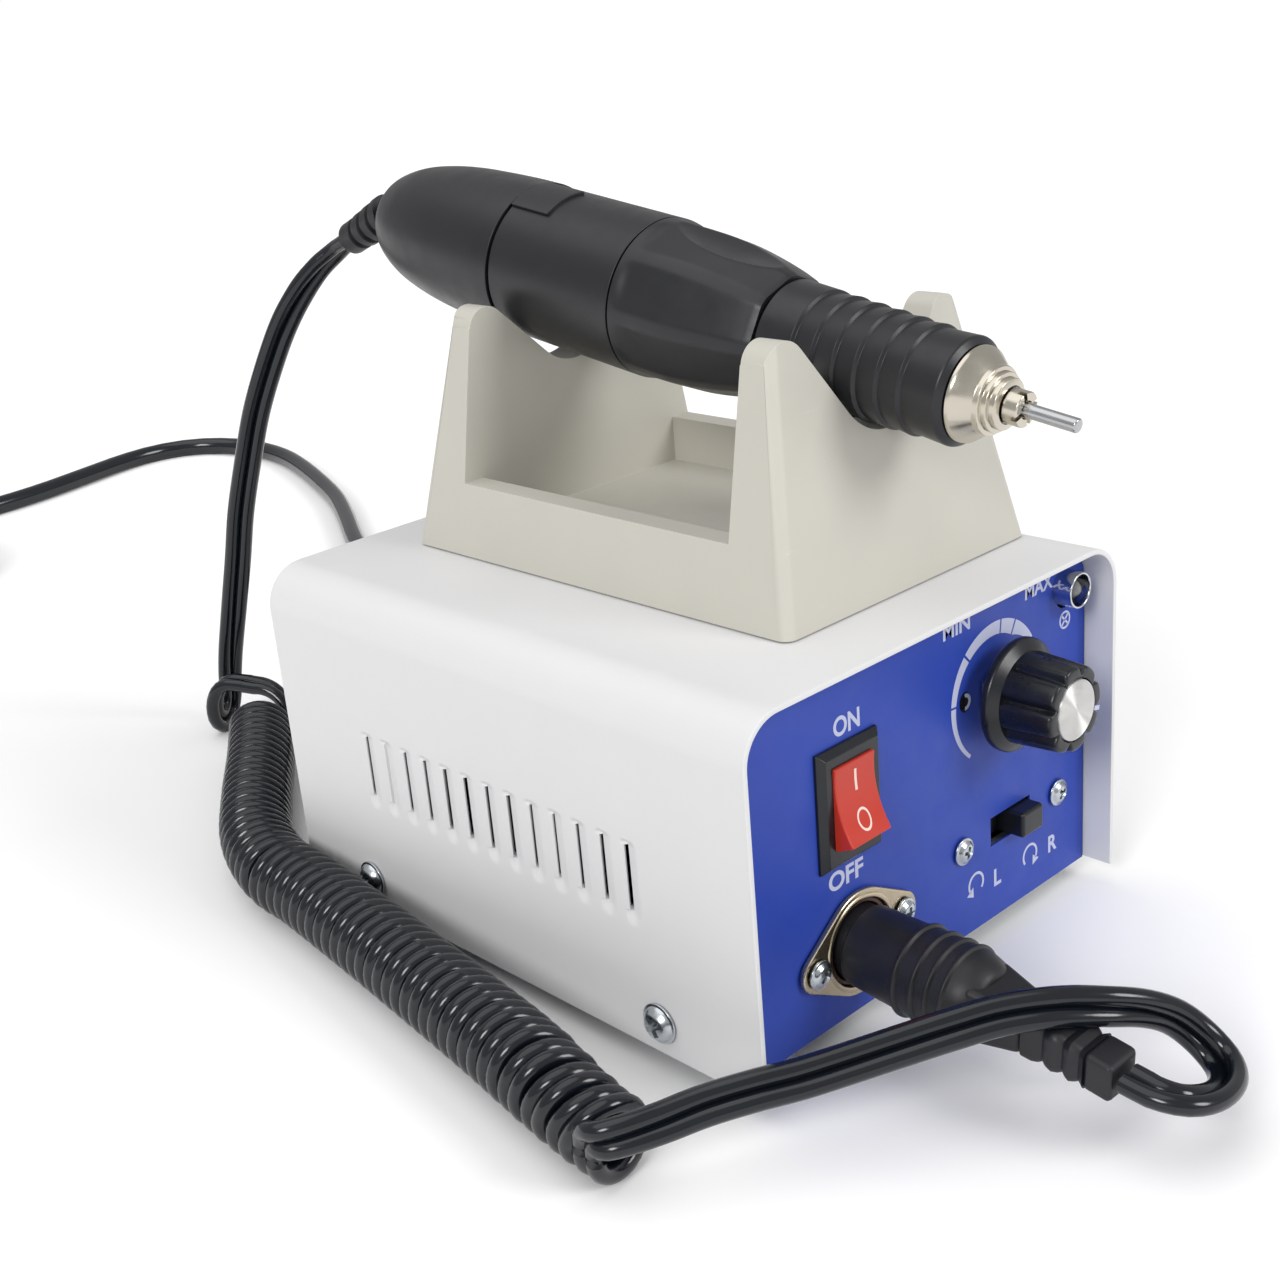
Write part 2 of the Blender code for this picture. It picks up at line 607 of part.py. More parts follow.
def build_case(surfaces):
    outline = cover_outline(0.0) + list(reversed(cover_outline(SHEET)))
    cover = add_object("case_cover", prism(outline, FRONT, REAR), surfaces["case_white"])
    slots = bmesh.new()
    for index in range(LOUVRE_COUNT):
        middle = CASE_Y + LOUVRE_MIDDLE + (index - (LOUVRE_COUNT - 1) / 2) * LOUVRE_PITCH
        bottom = FOOT_HEIGHT + LOUVRE_BOTTOM
        for side in (-1, 1):
            inner = side * (CASE_WIDTH / 2 - SHEET - OVERRUN)
            outer = side * (CASE_WIDTH / 2 + OVERRUN)
            block((min(inner, outer), middle - LOUVRE_WIDTH / 2, bottom),
                  (max(inner, outer), middle + LOUVRE_WIDTH / 2, bottom + LOUVRE_HEIGHT), slots)
    cut(cover, slots, "louvre_slots")
    holes = bmesh.new()
    for side, along in screw_places():
        rod(PAN_SHANK_RADIUS + GAP, -SHEET - OVERRUN, OVERRUN, TINY_SIDES, holes, side_place(side, along))
    cut(cover, holes, "cover_screw_holes")

    plate = [(-TRAY_HALF_WIDTH, FOOT_HEIGHT + GAP), (TRAY_HALF_WIDTH, FOOT_HEIGHT + GAP)]
    plate += arc((TRAY_HALF_WIDTH - PLATE_CORNER, PLATE_TOP - PLATE_CORNER), PLATE_CORNER, 0, math.pi / 2, 4)
    plate += arc((PLATE_CORNER - TRAY_HALF_WIDTH, PLATE_TOP - PLATE_CORNER), PLATE_CORNER,
                 math.pi / 2, math.pi, 4)
    tray = add_object("chassis", prism(plate, PLATE_FACE, PLATE_BACK), surfaces["zinc"])
    join(tray, prism(plate, REAR_FACE - SHEET, REAR_FACE), "rear_plate_guide")
    floor = block((-TRAY_HALF_WIDTH, PLATE_FACE, FOOT_HEIGHT + GAP), (TRAY_HALF_WIDTH, REAR_FACE, FLOOR_TOP))
    join(tray, floor, "floor_guide")
    lips = bmesh.new()
    for side in (-1, 1):
        near = side * (TRAY_HALF_WIDTH - SHEET)
        far = side * TRAY_HALF_WIDTH
        block((min(near, far), PLATE_FACE, FOOT_HEIGHT + GAP),
              (max(near, far), REAR_FACE, FOOT_HEIGHT + LIP_HEIGHT), lips)
    join(tray, lips, "lips_guide")
    cut(tray, chassis_holes(), "chassis_holes")

    label = [(-TRAY_HALF_WIDTH, FOOT_HEIGHT), (TRAY_HALF_WIDTH, FOOT_HEIGHT)] + plate[2:]
    film = add_object("front_label", prism(label, LABEL_FACE, LABEL_FACE + LABEL_THICKNESS),
                      surfaces["label_blue"])
    cut(film, front_holes(), "label_holes")

    for index, (x, y) in enumerate(corner_places(), start=1):
        foot = rod(FOOT_RADIUS, 0.0, FOOT_HEIGHT)
        add_object(f"foot_{index}", foot, surfaces["black_rubber"], location=(x, y, 0.0))
    for index, (side, along) in enumerate(screw_places(), start=1):
        screw = pan_screw(PAN_HEAD_RADIUS, PAN_HEAD_HEIGHT, PAN_SHANK_RADIUS, PAN_SHANK_LENGTH)
        bmesh.ops.transform(screw, matrix=side_place(side, along), verts=screw.verts)
        add_object(f"cover_screw_{index}", screw, surfaces["zinc"])


def corner_places():
    x = CASE_WIDTH / 2 - FOOT_INSET
    y = CASE_DEPTH / 2 - FOOT_INSET
    return [(i * x, CASE_Y + j * y) for j in (-1, 1) for i in (-1, 1)]


def screw_places():
    return [(side, along * COVER_SCREW_SPREAD) for side in (-1, 1) for along in (-1, 1)]


def side_place(side, along):
    """A place on a side wall whose local Z points out of it."""
    spot = Matrix.Translation((side * CASE_WIDTH / 2, CASE_Y + along, FOOT_HEIGHT + COVER_SCREW_HEIGHT))
    return spot @ Matrix.Rotation(side * math.radians(90.0), 4, 'Y')


def pan_screw(head_radius, head_height, shank_radius, shank_length):
    """A pan-head screw whose head stands a gap above z = 0."""
    outline = [(0, -shank_length), (shank_radius, -shank_length), (shank_radius, GAP), (head_radius, GAP),
               (head_radius, head_height / 2), (head_radius * CROWN_SHARE, head_height), (0, head_height)]
    return turned(outline, TINY_SIDES)


def front_holes():
    """Openings that the label and the front plate share."""
    low = LABEL_FACE - OVERRUN
    high = PLATE_BACK + OVERRUN
    holes = bmesh.new()
    z = FOOT_HEIGHT + ROCKER_Z
    half_width = ROCKER_BODY_WIDTH / 2 + GAP
    half_height = ROCKER_BODY_HEIGHT / 2 + GAP
    block((ROCKER_X - half_width, low, z - half_height),
          (ROCKER_X + half_width, high, z + half_height), holes)
    z = FOOT_HEIGHT + SLIDE_Z
    block((SLIDE_X - SLIDE_SLOT_WIDTH / 2, low, z - SLIDE_SLOT_HEIGHT / 2),
          (SLIDE_X + SLIDE_SLOT_WIDTH / 2, high, z + SLIDE_SLOT_HEIGHT / 2), holes)
    places = [(KNOB_X, KNOB_Z, POT_BUSH_RADIUS), (LAMP_X, LAMP_Z, LAMP_RADIUS),
              (SOCKET_X, SOCKET_Z, SOCKET_BODY_RADIUS)]
    places += [(x, z, PANEL_SHANK_RADIUS) for x, z in panel_screw_places()]
    for x, z, radius in places:
        sides = TINY_SIDES if radius < LAMP_RADIUS else SMALL_SIDES
        rod(radius + GAP, LABEL_FACE - high, LABEL_FACE - low, sides, holes,
            facing_front(x, LABEL_FACE, FOOT_HEIGHT + z))
    return holes


def panel_screw_places():
    """Both switch screws, then both socket screws, as x and height over the cover's edge."""
    places = [(SLIDE_X + side * SLIDE_SCREW_SPREAD, SLIDE_Z) for side in (-1, 1)]
    across = SOCKET_SCREW_SPREAD * math.cos(SOCKET_TURN)
    rise = SOCKET_SCREW_SPREAD * math.sin(SOCKET_TURN)
    places += [(SOCKET_X + side * across, SOCKET_Z + side * rise) for side in (-1, 1)]
    return places


def chassis_holes():
    holes = front_holes()
    for x, z, radius in ((BUSHING_X, BUSHING_Z, BUSHING_NECK_RADIUS), (FUSE_X, FUSE_Z, FUSE_BODY_RADIUS)):
        rod(radius + GAP, -SHEET - OVERRUN, OVERRUN, SMALL_SIDES, holes, rear_place(x, z))
    for side, along in screw_places():
        rod(PAN_SHANK_RADIUS + GAP, -3 * SHEET - OVERRUN, 0, TINY_SIDES, holes, side_place(side, along))
    return holes


def rear_place(x, z):
    """A place on the rear plate whose local Z points out of it, towards +Y."""
    return (Matrix.Translation((x, REAR_FACE, FOOT_HEIGHT + z))
            @ Matrix.Rotation(math.radians(-90.0), 4, 'X'))


def build_inside(surfaces):
    low = FLOOR_TOP + GAP
    core = block((CORE_X - CORE_WIDTH / 2, CASE_Y + CORE_Y - CORE_DEPTH / 2, low),
                 (CORE_X + CORE_WIDTH / 2, CASE_Y + CORE_Y + CORE_DEPTH / 2, low + CORE_HEIGHT))
    core = add_object("transformer_core", core, surfaces["steel"])
    middle = low + CORE_HEIGHT / 2
    half = Vector((WINDOW_WIDTH / 2, CORE_DEPTH / 2 + OVERRUN, WINDOW_HEIGHT / 2))
    centre = Vector((CORE_X, CASE_Y + CORE_Y, middle))
    cut(core, block(centre - half, centre + half), "core_window")
    coil = half - Vector((GAP, OVERRUN - COIL_OVERHANG, GAP))
    add_object("transformer_coil", block(centre - coil, centre + coil), surfaces["brown_tape"])

    board_low = FLOOR_TOP + GAP + BOARD_POST
    board_half = Vector((BOARD_WIDTH / 2, BOARD_DEPTH / 2, 0))
    centre = Vector((BOARD_X, CASE_Y + BOARD_Y, board_low))
    board = block(centre - board_half, centre + board_half + Vector((0, 0, BOARD_THICKNESS)))
    board = add_object("circuit_board", board, surfaces["board_green"])
    extras = bmesh.new()
    reach = board_half - Vector((BOARD_POST_INSET, BOARD_POST_INSET, 0))
    for i in (-1, 1):
        for j in (-1, 1):
            spot = Matrix.Translation(centre + Vector((i * reach.x, j * reach.y, 0)))
            rod(BOARD_POST_RADIUS, -BOARD_POST, BOARD_THICKNESS / 2, TINY_SIDES, extras, spot)
    top = BOARD_THICKNESS / 2
    rod(CAPACITOR_RADIUS, top, CAPACITOR_HEIGHT, shape=extras,
        place=Matrix.Translation(centre + Vector((-BOARD_WIDTH / 6, BOARD_DEPTH / 4, 0))))
    sink = centre + Vector((BOARD_WIDTH / 4, 0, top))
    sink_half = Vector((HEAT_SINK_WIDTH / 2, HEAT_SINK_DEPTH / 2, 0))
    block(sink - sink_half, sink + sink_half + Vector((0, 0, HEAT_SINK_HEIGHT)), extras)
    join(board, extras, "board_parts")

    bushing = turned([(BUSHING_END_RADIUS, BUSHING_LENGTH), (BUSHING_ROOT_RADIUS, BUSHING_COLLAR_HEIGHT),
                      (BUSHING_COLLAR_RADIUS, BUSHING_COLLAR_HEIGHT), (BUSHING_COLLAR_RADIUS, GAP),
                      (BUSHING_NECK_RADIUS, GAP), (BUSHING_NECK_RADIUS, -SHEET - BUSHING_NUT_HEIGHT),
                      (0, -SHEET - BUSHING_NUT_HEIGHT), (0, BUSHING_LENGTH)], SMALL_SIDES,
                     place=rear_place(BUSHING_X, BUSHING_Z))
    add_object("mains_bushing", bushing, surfaces["black_rubber"])
    fuse = turned([(0, FUSE_CAP_HEIGHT), (FUSE_CAP_RADIUS * FUSE_CROWN_SHARE, FUSE_CAP_HEIGHT),
                   (FUSE_CAP_RADIUS, FUSE_CAP_HEIGHT / 2), (FUSE_CAP_RADIUS, GAP), (FUSE_BODY_RADIUS, GAP),
                   (FUSE_BODY_RADIUS, -FUSE_BODY_LENGTH), (0, -FUSE_BODY_LENGTH)], SMALL_SIDES,
                  place=rear_place(FUSE_X, FUSE_Z))
    add_object("fuse_holder", fuse, surfaces["black_plastic"])


# Front controls

def build_rocker(surfaces):
    z = FOOT_HEIGHT + ROCKER_Z
    face = LABEL_FACE - BEZEL_PROUD
    half = Vector((BEZEL_WIDTH / 2, 0, BEZEL_HEIGHT / 2))
    centre = Vector((ROCKER_X, 0, z))
    frame = block(centre - half + Vector((0, face, 0)), centre + half + Vector((0, LABEL_FACE - GAP, 0)))
    front_edges = [e for e in frame.edges if all(v.co.y < face + GAP for v in e.verts)]
    bmesh.ops.bevel(frame, geom=front_edges, offset=BEZEL_CHAMFER, segments=1, profile=0.5,
                    affect='EDGES', material=-1)
    frame = add_object("rocker_frame", frame, surfaces["black_plastic"])
    body = Vector((ROCKER_BODY_WIDTH / 2, 0, ROCKER_BODY_HEIGHT / 2))
    back = PLATE_BACK + ROCKER_BODY_DEPTH
    rear = block(centre - body + Vector((0, LABEL_FACE - BEZEL_PROUD / 2, 0)),
                 centre + body + Vector((0, back, 0)))
    join(frame, rear, "rocker_body_guide")
    blades = bmesh.new()
    for side in (-1, 1):
        spot = centre + Vector((0, back - TERMINAL_THICKNESS, side * TERMINAL_SPREAD))
        blade = Vector((TERMINAL_WIDTH / 2, 0, TERMINAL_THICKNESS / 2))
        block(spot - blade, spot + blade + Vector((0, TERMINAL_LENGTH, 0)), blades)
    join(frame, blades, "rocker_blades_guide")
    opening = Vector((ROCKER_OPENING_WIDTH / 2, 0, ROCKER_OPENING_HEIGHT / 2))
    cavity = block(centre - opening + Vector((0, face - OVERRUN, 0)),
                   centre + opening + Vector((0, face + ROCKER_CAVITY_DEPTH, 0)))
    cut(frame, cavity, "rocker_cavity")

    half_outline = [(ROCKER_VALLEY_REACH, 0), (ROCKER_TIP_REACH, ROCKER_TIP),
                    (ROCKER_SHOULDER_REACH, ROCKER_SHOULDER), (-ROCKER_FOOT_REACH, ROCKER_FOOT)]
    outline = [(-reach, side) for reach, side in half_outline]
    outline += [(-reach, -side) for reach, side in reversed(half_outline) if side > 0]
    turn = Matrix.Rotation(-ROCKER_SWING, 3, 'X')
    half_width = ROCKER_OPENING_WIDTH / 2 - GAP
    rocker = prism(outline, -half_width, half_width, axes=(1, 2, 0))
    bmesh.ops.rotate(rocker, matrix=turn, verts=rocker.verts)
    pivot = (ROCKER_X, face + ROCKER_PIVOT_DEPTH, z)
    add_object("power_rocker", rocker, surfaces["rocker_red"], location=pivot)


def build_knob(surfaces):
    place = facing_front(KNOB_X, LABEL_FACE, FOOT_HEIGHT + KNOB_Z)
    behind = PLATE_BACK - LABEL_FACE + GAP
    nut_front = POT_NUT_HEIGHT + GAP
    pot = turned([(0, KNOB_STANDOFF + POT_SHAFT_LENGTH), (POT_SHAFT_RADIUS, KNOB_STANDOFF + POT_SHAFT_LENGTH),
                  (POT_SHAFT_RADIUS, nut_front), (POT_BUSH_RADIUS, nut_front), (POT_BUSH_RADIUS, -behind),
                  (POT_BODY_RADIUS, -behind), (POT_BODY_RADIUS, -behind - POT_BODY_DEPTH),
                  (0, -behind - POT_BODY_DEPTH)], SMALL_SIDES, place=place)
    add_object("speed_pot", pot, surfaces["steel"])
    nut = add_object("pot_nut", rod(POT_NUT_RADIUS, GAP, POT_NUT_HEIGHT, 6, place=place), surfaces["nickel"])
    cut(nut, rod(POT_BUSH_RADIUS + GAP, -OVERRUN, POT_NUT_HEIGHT + OVERRUN, place=place), "nut_bore")

    pivot = (KNOB_X, LABEL_FACE, FOOT_HEIGHT + KNOB_Z)
    knob_turn = (math.radians(90.0), 0, 0)
    low = KNOB_STANDOFF
    front = low + KNOB_HEIGHT
    skirt = turned([(0, low), (KNOB_SKIRT_RADIUS, low), (KNOB_SKIRT_RADIUS, low + KNOB_SKIRT_HEIGHT / 2),
                    (KNOB_BACK_RADIUS, low + KNOB_SKIRT_HEIGHT), (0, low + KNOB_SKIRT_HEIGHT)])
    knob = add_object("speed_knob", skirt, surfaces["black_plastic"], location=pivot, rotation=knob_turn)
    flutes = bmesh.new()
    rings = []
    for radius, height in ((KNOB_BACK_RADIUS, low + KNOB_SKIRT_HEIGHT / 2), (KNOB_FRONT_RADIUS, front)):
        ring = []
        for index in range(KNOB_FLUTES * 4):
            angle = math.tau * index / (KNOB_FLUTES * 4)
            reach = radius - KNOB_FLUTE_DEPTH if index % 4 == 2 else radius
            ring.append(flutes.verts.new((reach * math.cos(angle), reach * math.sin(angle), height)))
        rings.append(ring)
    flutes.faces.new(rings[0])
    flutes.faces.new(list(reversed(rings[1])))
    for a, b, c, d in zip(rings[0], rings[0][1:] + rings[0][:1], rings[1][1:] + rings[1][:1], rings[1]):
        flutes.faces.new((a, b, c, d))
    join(knob, flutes, "knob_flutes", location=pivot, rotation=knob_turn)
    bore = POT_SHAFT_RADIUS + GAP
    hollow = turned([(0, low - OVERRUN), (KNOB_RECESS_RADIUS, low - OVERRUN),
                     (KNOB_RECESS_RADIUS, low + KNOB_RECESS_DEPTH), (bore, low + KNOB_RECESS_DEPTH),
                     (bore, low + KNOB_BORE_DEPTH + GAP), (0, low + KNOB_BORE_DEPTH + GAP)], SMALL_SIDES)
    cut(knob, hollow, "knob_hollow", location=pivot, rotation=knob_turn)
    seat = front - KNOB_DISC_THICKNESS
    cut(knob, rod(KNOB_DISC_RADIUS + GAP, seat, front + OVERRUN, ROUND_SIDES), "knob_disc_seat",
        location=pivot, rotation=knob_turn)
    edge = KNOB_DISC_RADIUS - KNOB_DISC_PROUD
    disc = turned([(0, seat + GAP), (KNOB_DISC_RADIUS, seat + GAP), (KNOB_DISC_RADIUS, front),
                   (edge, front + KNOB_DISC_PROUD), (0, front + KNOB_DISC_PROUD)])
    add_object("knob_disc", disc, surfaces["aluminium"], location=pivot, rotation=knob_turn)


def build_lamp(surfaces):
    place = facing_front(LAMP_X, LABEL_FACE, FOOT_HEIGHT + LAMP_Z)
    behind = PLATE_BACK - LABEL_FACE + LAMP_DEPTH
    bezel = turned([(LAMP_BORE, -behind), (LAMP_RADIUS, -behind), (LAMP_RADIUS, GAP),
                    (LAMP_COLLAR_RADIUS, GAP), (LAMP_COLLAR_RADIUS, LAMP_COLLAR_HEIGHT),
                    (LAMP_RADIUS, LAMP_COLLAR_HEIGHT + GAP),
                    (LAMP_RADIUS, LAMP_PROUD), (LAMP_BORE, LAMP_PROUD)], SMALL_SIDES, place=place)
    add_object("lamp_bezel", bezel, surfaces["chrome"])
    tip = LAMP_PROUD - LED_RECESS
    dome = [(LED_RADIUS * math.cos(a), tip - LED_RADIUS + LED_RADIUS * math.sin(a))
            for a in (math.radians(t) for t in (0, 45, 90))]
    back = tip - LED_LENGTH
    led = turned([(0, back), (LED_FLANGE_RADIUS, back), (LED_FLANGE_RADIUS, back + LED_FLANGE_HEIGHT),
                  (LED_RADIUS, back + LED_FLANGE_HEIGHT)] + dome, TINY_SIDES, place=place)
    add_object("lamp_led", led, surfaces["led_clear"])


def build_slide_switch(surfaces):
    z = FOOT_HEIGHT + SLIDE_Z
    back = PLATE_BACK + GAP
    centre = Vector((SLIDE_X, back, z))
    ear = Vector((SLIDE_EAR_WIDTH / 2, 0, SLIDE_BODY_HEIGHT / 2))
    body = block(centre - ear, centre + ear + Vector((0, SLIDE_EAR_THICKNESS, 0)))
    body = add_object("slide_switch", body, surfaces["steel"])
    half = Vector((SLIDE_BODY_WIDTH / 2, 0, SLIDE_BODY_HEIGHT / 2))
    join(body, block(centre - half + Vector((0, SLIDE_EAR_THICKNESS / 2, 0)),
                     centre + half + Vector((0, SLIDE_BODY_DEPTH, 0))), "switch_box_guide")
    travel = slide_travel()
    carriage = Vector((SLIDE_CARRIAGE_WIDTH / 2, 0, SLIDE_BUTTON_HEIGHT / 2))
    room = carriage + Vector((travel / 2 + RUNNING_GAP, 0, RUNNING_GAP))
    depth = SLIDE_CARRIAGE_DEPTH + 2 * RUNNING_GAP
    cut(body, block(centre - room - Vector((0, OVERRUN, 0)), centre + room + Vector((0, depth, 0))),
        "switch_room")
    holes = bmesh.new()
    for side in (-1, 1):
        rod(PANEL_SHANK_RADIUS + GAP, -OVERRUN, OVERRUN + SLIDE_EAR_THICKNESS, TINY_SIDES, holes,
            Matrix.Translation(centre + Vector((side * SLIDE_SCREW_SPREAD, 0, 0)))
            @ Matrix.Rotation(math.radians(-90.0), 4, 'X'))
    cut(body, holes, "switch_ear_holes")

    rest = Vector((SLIDE_X + travel / 2, 0, z))
    button = Vector((SLIDE_BUTTON_WIDTH / 2, 0, SLIDE_BUTTON_HEIGHT / 2))
    shape = block(-button + Vector((0, LABEL_FACE - SLIDE_BUTTON_PROUD - rest.y, 0)),
                  button + Vector((0, back + RUNNING_GAP + SLIDE_CARRIAGE_DEPTH / 2, 0)))
    slider = add_object("slide_button", shape, surfaces["black_plastic"], location=rest)
    join(slider, block(-carriage + Vector((0, back + RUNNING_GAP, 0)),
                       carriage + Vector((0, back + RUNNING_GAP + SLIDE_CARRIAGE_DEPTH, 0))),
         "carriage_guide", location=rest)
    for index, (x, screw_z) in enumerate(panel_screw_places()[:2], start=1):
        place_panel_screw(f"switch_screw_{index}", x, screw_z, 0.0, surfaces)


def slide_travel():
    return SLIDE_SLOT_WIDTH - SLIDE_BUTTON_WIDTH - 2 * RUNNING_GAP


def place_panel_screw(name, x, z, seat, surfaces):
    screw = pan_screw(PANEL_HEAD_RADIUS, PANEL_HEAD_HEIGHT, PANEL_SHANK_RADIUS, PANEL_SHANK_LENGTH + seat)
    bmesh.ops.transform(screw, matrix=facing_front(x, LABEL_FACE - seat, FOOT_HEIGHT + z), verts=screw.verts)
    add_object(name, screw, surfaces["zinc"])


def flange_outline():
    """Two small rounded ends and a larger round middle, joined by straight sides."""
    lean = math.asin((FLANGE_MIDDLE_RADIUS - FLANGE_END_RADIUS) / SOCKET_SCREW_SPREAD)
    side = math.pi / 2 - lean
    points = arc((SOCKET_SCREW_SPREAD, 0), FLANGE_END_RADIUS, -side, side, 5)
    points += arc((0, 0), FLANGE_MIDDLE_RADIUS, side, math.pi - side, 5)
    points += arc((-SOCKET_SCREW_SPREAD, 0), FLANGE_END_RADIUS, math.pi - side, math.pi + side, 5)
    points += arc((0, 0), FLANGE_MIDDLE_RADIUS, math.pi + side, math.tau - side, 5)
    return points


def build_socket(surfaces):
    place = facing_front(SOCKET_X, LABEL_FACE, FOOT_HEIGHT + SOCKET_Z)
    plate = prism(flange_outline(), GAP, GAP + FLANGE_THICKNESS, axes=(0, 1, 2))
    bmesh.ops.rotate(plate, matrix=Matrix.Rotation(SOCKET_TURN, 3, 'Z'), verts=plate.verts)
    bmesh.ops.transform(plate, matrix=place, verts=plate.verts)
    flange = add_object("socket_flange", plate, surfaces["nickel"])
    can = rod(SOCKET_BODY_RADIUS, -SOCKET_BODY_DEPTH, GAP + FLANGE_THICKNESS / 2, ROUND_SIDES, place=place)
    join(flange, can, "socket_can_guide")
    bore = rod(FLANGE_BORE, -SOCKET_BODY_DEPTH + SHEET, FLANGE_THICKNESS + OVERRUN, ROUND_SIDES, place=place)
    cut(flange, bore, "socket_bore")
    holes = bmesh.new()
    for x, z in panel_screw_places()[2:]:
        rod(PANEL_SHANK_RADIUS + GAP, -OVERRUN / 2, FLANGE_THICKNESS + OVERRUN, TINY_SIDES, holes,
            facing_front(x, LABEL_FACE, FOOT_HEIGHT + z))
    cut(flange, holes, "flange_screw_holes")
    insert = rod(FLANGE_BORE - GAP, -INSERT_FACE_DEPTH - INSERT_DEPTH, -INSERT_FACE_DEPTH, place=place)
    add_object("socket_insert", insert, surfaces["brown_plastic"])
    for index, (x, z) in enumerate(panel_screw_places()[2:], start=1):
        place_panel_screw(f"socket_screw_{index}", x, z, GAP + FLANGE_THICKNESS, surfaces)

    mouth = (SOCKET_X, LABEL_FACE - FLANGE_THICKNESS, FOOT_HEIGHT + SOCKET_Z)
    axis = add_empty("plug_axis", mouth, (math.radians(90.0) + PLUG_DROOP, 0, 0))
    start = PLUG_STANDOFF
    profile = [(0, -PLUG_NOSE_LENGTH), (PLUG_NOSE_RADIUS, -PLUG_NOSE_LENGTH), (PLUG_NOSE_RADIUS, start),
               (PLUG_FRONT_RADIUS, start), (PLUG_BACK_RADIUS, start + PLUG_BARREL)]
    height = start + PLUG_BARREL
    for index in range(PLUG_RIDGES):
        for share, dip in PLUG_RIDGE_SHARES:
            profile.append((PLUG_RIDGE_RADIUS - dip * PLUG_GROOVE_DEPTH, height + share * PLUG_RIDGE_PITCH))
        height += PLUG_RIDGE_PITCH
    neck = height + PLUG_TAPER
    profile += [(PLUG_BACK_RADIUS, height + GAP), (PLUG_NECK_RADIUS, neck), (0, neck)]
    add_object("plug_shell", turned(profile, SMALL_SIDES), surfaces["black_rubber"], parent=axis)

    boot = bmesh.new()
    rings = [(neck + GAP, 0.0)]
    pitch = BOOT_LENGTH / BOOT_RIBS
    for index in range(BOOT_RIBS):
        at = neck + GAP + index * pitch
        rings += [(at + pitch * share, dip) for share, dip in BOOT_RIB_SHARES]
    half_width = BOOT_WIDTH / 2
    half_height = BOOT_HEIGHT / 2
    sections = [(height, half_width - dip * BOOT_RIB_DEPTH, half_height - dip * BOOT_RIB_DEPTH)
                for height, dip in rings]
    end = neck + GAP + BOOT_LENGTH
    sections += [(end + GAP, BOOT_BLOCK_WIDTH / 2, BOOT_BLOCK_HEIGHT / 2),
                 (end + BOOT_BLOCK_LENGTH, BOOT_BLOCK_WIDTH / 2, BOOT_BLOCK_HEIGHT / 2)]
    stacked_boxes(boot, sections)
    add_object("plug_boot", boot, surfaces["black_rubber"], parent=axis)
    return axis, end + BOOT_BLOCK_LENGTH


def stacked_boxes(shape, sections):
    """A column of box sections (height, half width, half depth) along Z."""
    rings = []
    for height, x, y in sections:
        rings.append([shape.verts.new(spot) for spot in
                      ((-x, -y, height), (x, -y, height), (x, y, height), (-x, y, height))])
    shape.faces.new(rings[0])
    shape.faces.new(list(reversed(rings[-1])))
    for low, high in zip(rings, rings[1:]):
        for i in range(4):
            j = (i + 1) % 4
            shape.faces.new((low[i], low[j], high[j], high[i]))


# Cradle

def axis_height(y):
    """Height of the handpiece axis over the table at a distance behind the case's middle."""
    return FOOT_HEIGHT + AXIS_HEIGHT + y * math.tan(NOSE_DROP)


def notch_profile(bottom_centre, bottom_radius, flank):
    """Top of an end wall from its right face over both horns to its left face."""
    rise = HORN_SPREAD * math.sin(flank) - bottom_radius - HORN_RADIUS
    top_centre = bottom_centre + rise / math.cos(flank)
    lean = CRADLE_DRAFT
    right = arc((HORN_SPREAD, top_centre), HORN_RADIUS, lean, math.pi / 2 + flank, HORN_STEPS)
    lower = arc((0, bottom_centre), bottom_radius, flank - math.pi / 2, -math.pi / 2, NOTCH_STEPS // 2)
    right += lower[:-1]
    left = [(-x, z) for x, z in reversed(right)]
    return right + [(0, bottom_centre - bottom_radius)] + left, top_centre


